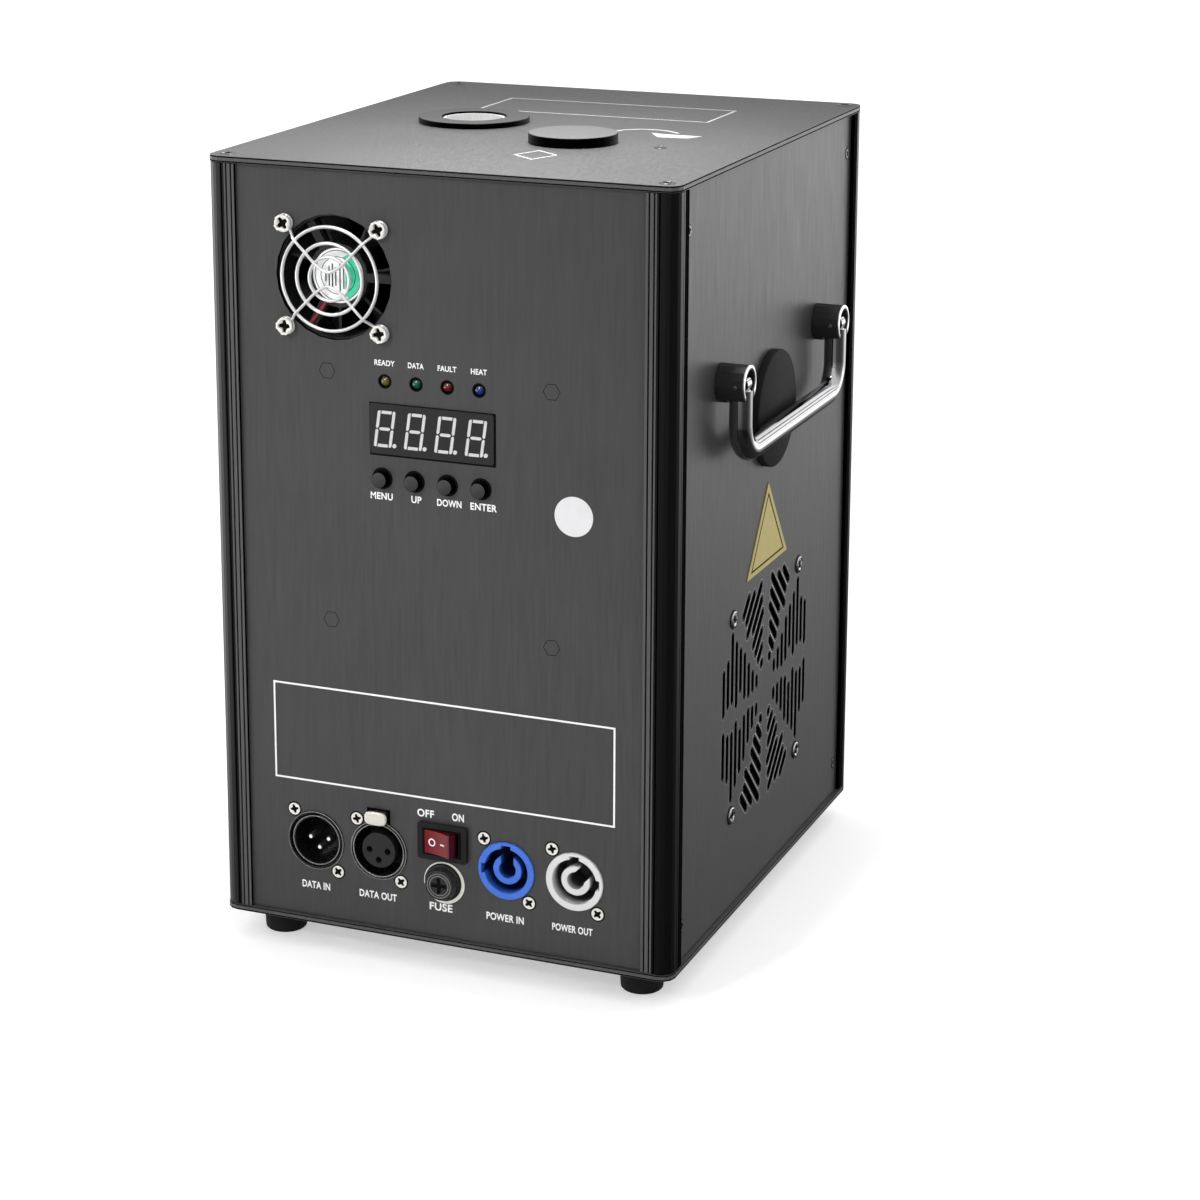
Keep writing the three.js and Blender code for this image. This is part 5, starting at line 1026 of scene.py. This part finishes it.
# Each slot is ringed with painted shadow, and outside that with a pale painted highlight.
material = flecked("painted_edge_highlight", 0.36, 0.5, 900, Roughness=0.5)
for name, inner, outer, rise, material in (
    ("burr", 0, 1, 0.03, SHADE_AND_PRINT_BLACK),
    ("edge", 1, 1.4, 0.02, material),
):
    rings = []
    for *ends, burr in slots:
        outlines = [slot_edge(*ends, SLOT_HALF - 0.02 + burr * share) for share in (outer, inner)]
        rings.append(cast("ring", outlines, 0, rise))
    seat(join_pieces(f"grille_{name}", rings), "right", 0, 0, 0, material)
for i, (sx, sy) in enumerate(CORNERS.values()):
    x, y = sx * INTAKE_HOLE, GRILLE_Y + sy * INTAKE_HOLE
    screw(f"grille_screw_{i}", "right", x, y, 0, 3.4, 1.0, BRIGHT_SCREW, 0.5, 18 * i)
    # A dark ring on each bright head is a painted dark reflection.
    groove = cast(f"grille_screw_dark_reflection_{i}", [disc(3.0), disc(2.55)], 0.98, 1.02)
    seat(groove, "right", x, y, 0, SHADE_AND_PRINT_BLACK)


# Yellow plate: a thin painted metal triangle stuck on above the grille, bare but for the plain line that
# runs round its edge.
material = flecked("yellow_plate", (0.4, 0.33, 0.09), (0.5, 0.42, 0.13), 300, 3, Roughness=0.4)
PLATE_CORNERS, PLATE_INRADIUS = [(-25.8, 147.6), (24.4, 147.6), (-0.7, 182.4)], 11.5


def triangle(shrink):
    """The plate's corners, drawn in by a distance from each side."""
    share = 1 - shrink / PLATE_INRADIUS
    across, up = (sum(side) / 3 for side in zip(*PLATE_CORNERS))
    return [(across + (px - across) * share, up + (py - up) * share) for px, py in PLATE_CORNERS]


seat(cast("yellow_plate", [triangle(0)], 0, 0.4, 0.08), "right", 0, 0, 0, material)
seat(cast("yellow_plate_line", [triangle(2.0), triangle(2.7)], 0.4, 0.44), "right", 0, 0, 0, SHADE_AND_PRINT_BLACK)


# Top: the nozzle's black flange round a bright steel tube, the flat filler cap, both of moulded plastic,
# and plain pale prints: a long bare frame, a bent arrow beside the cap and a lozenge before it.
def rim_finish(name, rise, level):
    """Black plastic, near black on its side as painted shade and paler as painted light on its flat top, a
    rise above the plate.
    """
    material, shader, place = finish(name, 0.03, Roughness=0.42, Specular_IOR_Level=0.12)
    sand = noise(place, 1500, 3)
    upright = coordinate(place, 2)
    flat = upright.math("GREATER_THAN", upright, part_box("top_plate")[1].z + (rise - 0.03) * MM)
    # Painted light on the flat top; the side goes black and metallic as painted shade.
    lit_top = flat * (0.75 + sand * 0.25)
    between(lit_top, 0.002, level).into(shader.inputs["Base Color"])
    (0.34 + sand * 0.12).into(shader.inputs["Roughness"])
    (1 - flat).into(shader.inputs["Metallic"])
    grain(shader, sand, 0.2, 0.00005)
    return material


FLANGE_RISE, CAP_RISE = 2.3, 4
material = rim_finish("nozzle_black", FLANGE_RISE, 0.085)
NOZZLE_X, NOZZLE_Y, FILLER_X, FILLER_Y = -36.5, 4.7, 22, -31.4
FLANGE_NECK = [(13.4, -8.7), (14.7, -8.7), (14.7, 0.3)]
FLANGE_RING = [(22.8, 0.3), (22.8, 2), (22.5, FLANGE_RISE), (13.5, FLANGE_RISE), (13.4, 2.2)]
flange = turned("nozzle_ring", FLANGE_NECK + FLANGE_RING, 96, True)
seat(flange, "top", NOZZLE_X, NOZZLE_Y, 0, material, stands_for="nozzle_flange")
tube_tones = (0.86, 0.86, 0.85), (0.94, 0.94, 0.93)
material = flecked("tube_steel", *tube_tones, 160, rough=(0.34, 0.1), Metallic=0.4)
dress_nodes(["nozzle_tube"], material)
material = rim_finish("cap_plastic", CAP_RISE, 0.15)
CAP_SKIRT = [(0, 0), (13, 0), (13, -7.7), (14.6, -7.7), (14.6, 0.3)]
CAP_DISC = [(17.7, 0.3), (17.7, 3.7), (17.4, CAP_RISE), (0, CAP_RISE)]
cap = turned("filler_knob", CAP_SKIRT + CAP_DISC, 96)
seat(cap, "top", FILLER_X, FILLER_Y, 0, material, body="filler_lid", stands_for="filler_cap")


def band(points, width):
    """The outline of a line of a width through a few points."""
    run = [Vector(p[:2]) for p in through([(x, y, 0) for x, y in points], 6)]
    left, right = [], []
    for i, p in enumerate(run):
        ahead = (run[min(i + 1, len(run) - 1)] - run[max(i - 1, 0)]).normalized() * width / 2
        left.append((p.x - ahead.y, p.y + ahead.x))
        right.append((p.x + ahead.y, p.y - ahead.x))
    return left + right[::-1]


sweep = band([(26.5, -0.5), (29, 6), (34.5, 10.2), (41, 11.2), (47, 9.5), (52.5, 5.5)], 1.5)
head = [(42, 2.8), (48, 1.8), (64, 1.5), (60.5, -5.5), (48.5, -7), (45.5, -3)]
lozenge_outside = [(12.6, -69), (17.9, -55.5), (28.9, -64), (23.6, -77.5)]
lozenge_inside = [(13.5, -68.7), (18.2, -56.9), (28, -64.3), (23.3, -76.1)]
long_frame = frame_line(-49.6, 53.5, 37.7, 74, 1.1)
prints = long_frame, [sweep], [head], [lozenge_outside, lozenge_inside]
top_prints = [cast("line", outlines, 0, PRINT_RISE) for outlines in prints]
material = flecked("plate_print", 0.44, 0.56, 1500, Roughness=0.5)
seat(join_pieces("top_print", top_prints), "top", 0, 0, 0, material)


# Inside: hopper, feeder, heater, blower, frame and supply, in zinc sheet, machined steel, mica and black
# moulding. Little of it shows, only through the grille and down the nozzle.
material, shader, place = finish("zinc_sheet", (0.45, 0.46, 0.47), Metallic=1.0, Roughness=0.4)
spangle = place.node("ShaderNodeTexVoronoi", None, {"Vector": place, "Scale": 180})
between(spangle, (0.38, 0.39, 0.4), (0.52, 0.53, 0.54)).into(shader.inputs["Base Color"])
(0.32 + spangle * 0.2).into(shader.inputs["Roughness"])
dress_nodes(("hopper", "core_frame", "power_supply"), material)
steel = (0.3, 0.3, 0.31), (0.46, 0.46, 0.47)
material = flecked("machined_steel", *steel, 900, 3, Metallic=1.0, Roughness=0.4)
dress_nodes(("feed_housing", "feed_motor", "feed_screw"), material)
material = flecked("mica_jacket", (0.36, 0.25, 0.1), (0.62, 0.47, 0.24), 150, 5, Roughness=0.6)
dress_nodes(["heater_jacket"], material)
dress_nodes(("blower_housing", "blower_impeller"), FAN_PLASTIC)

low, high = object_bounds()
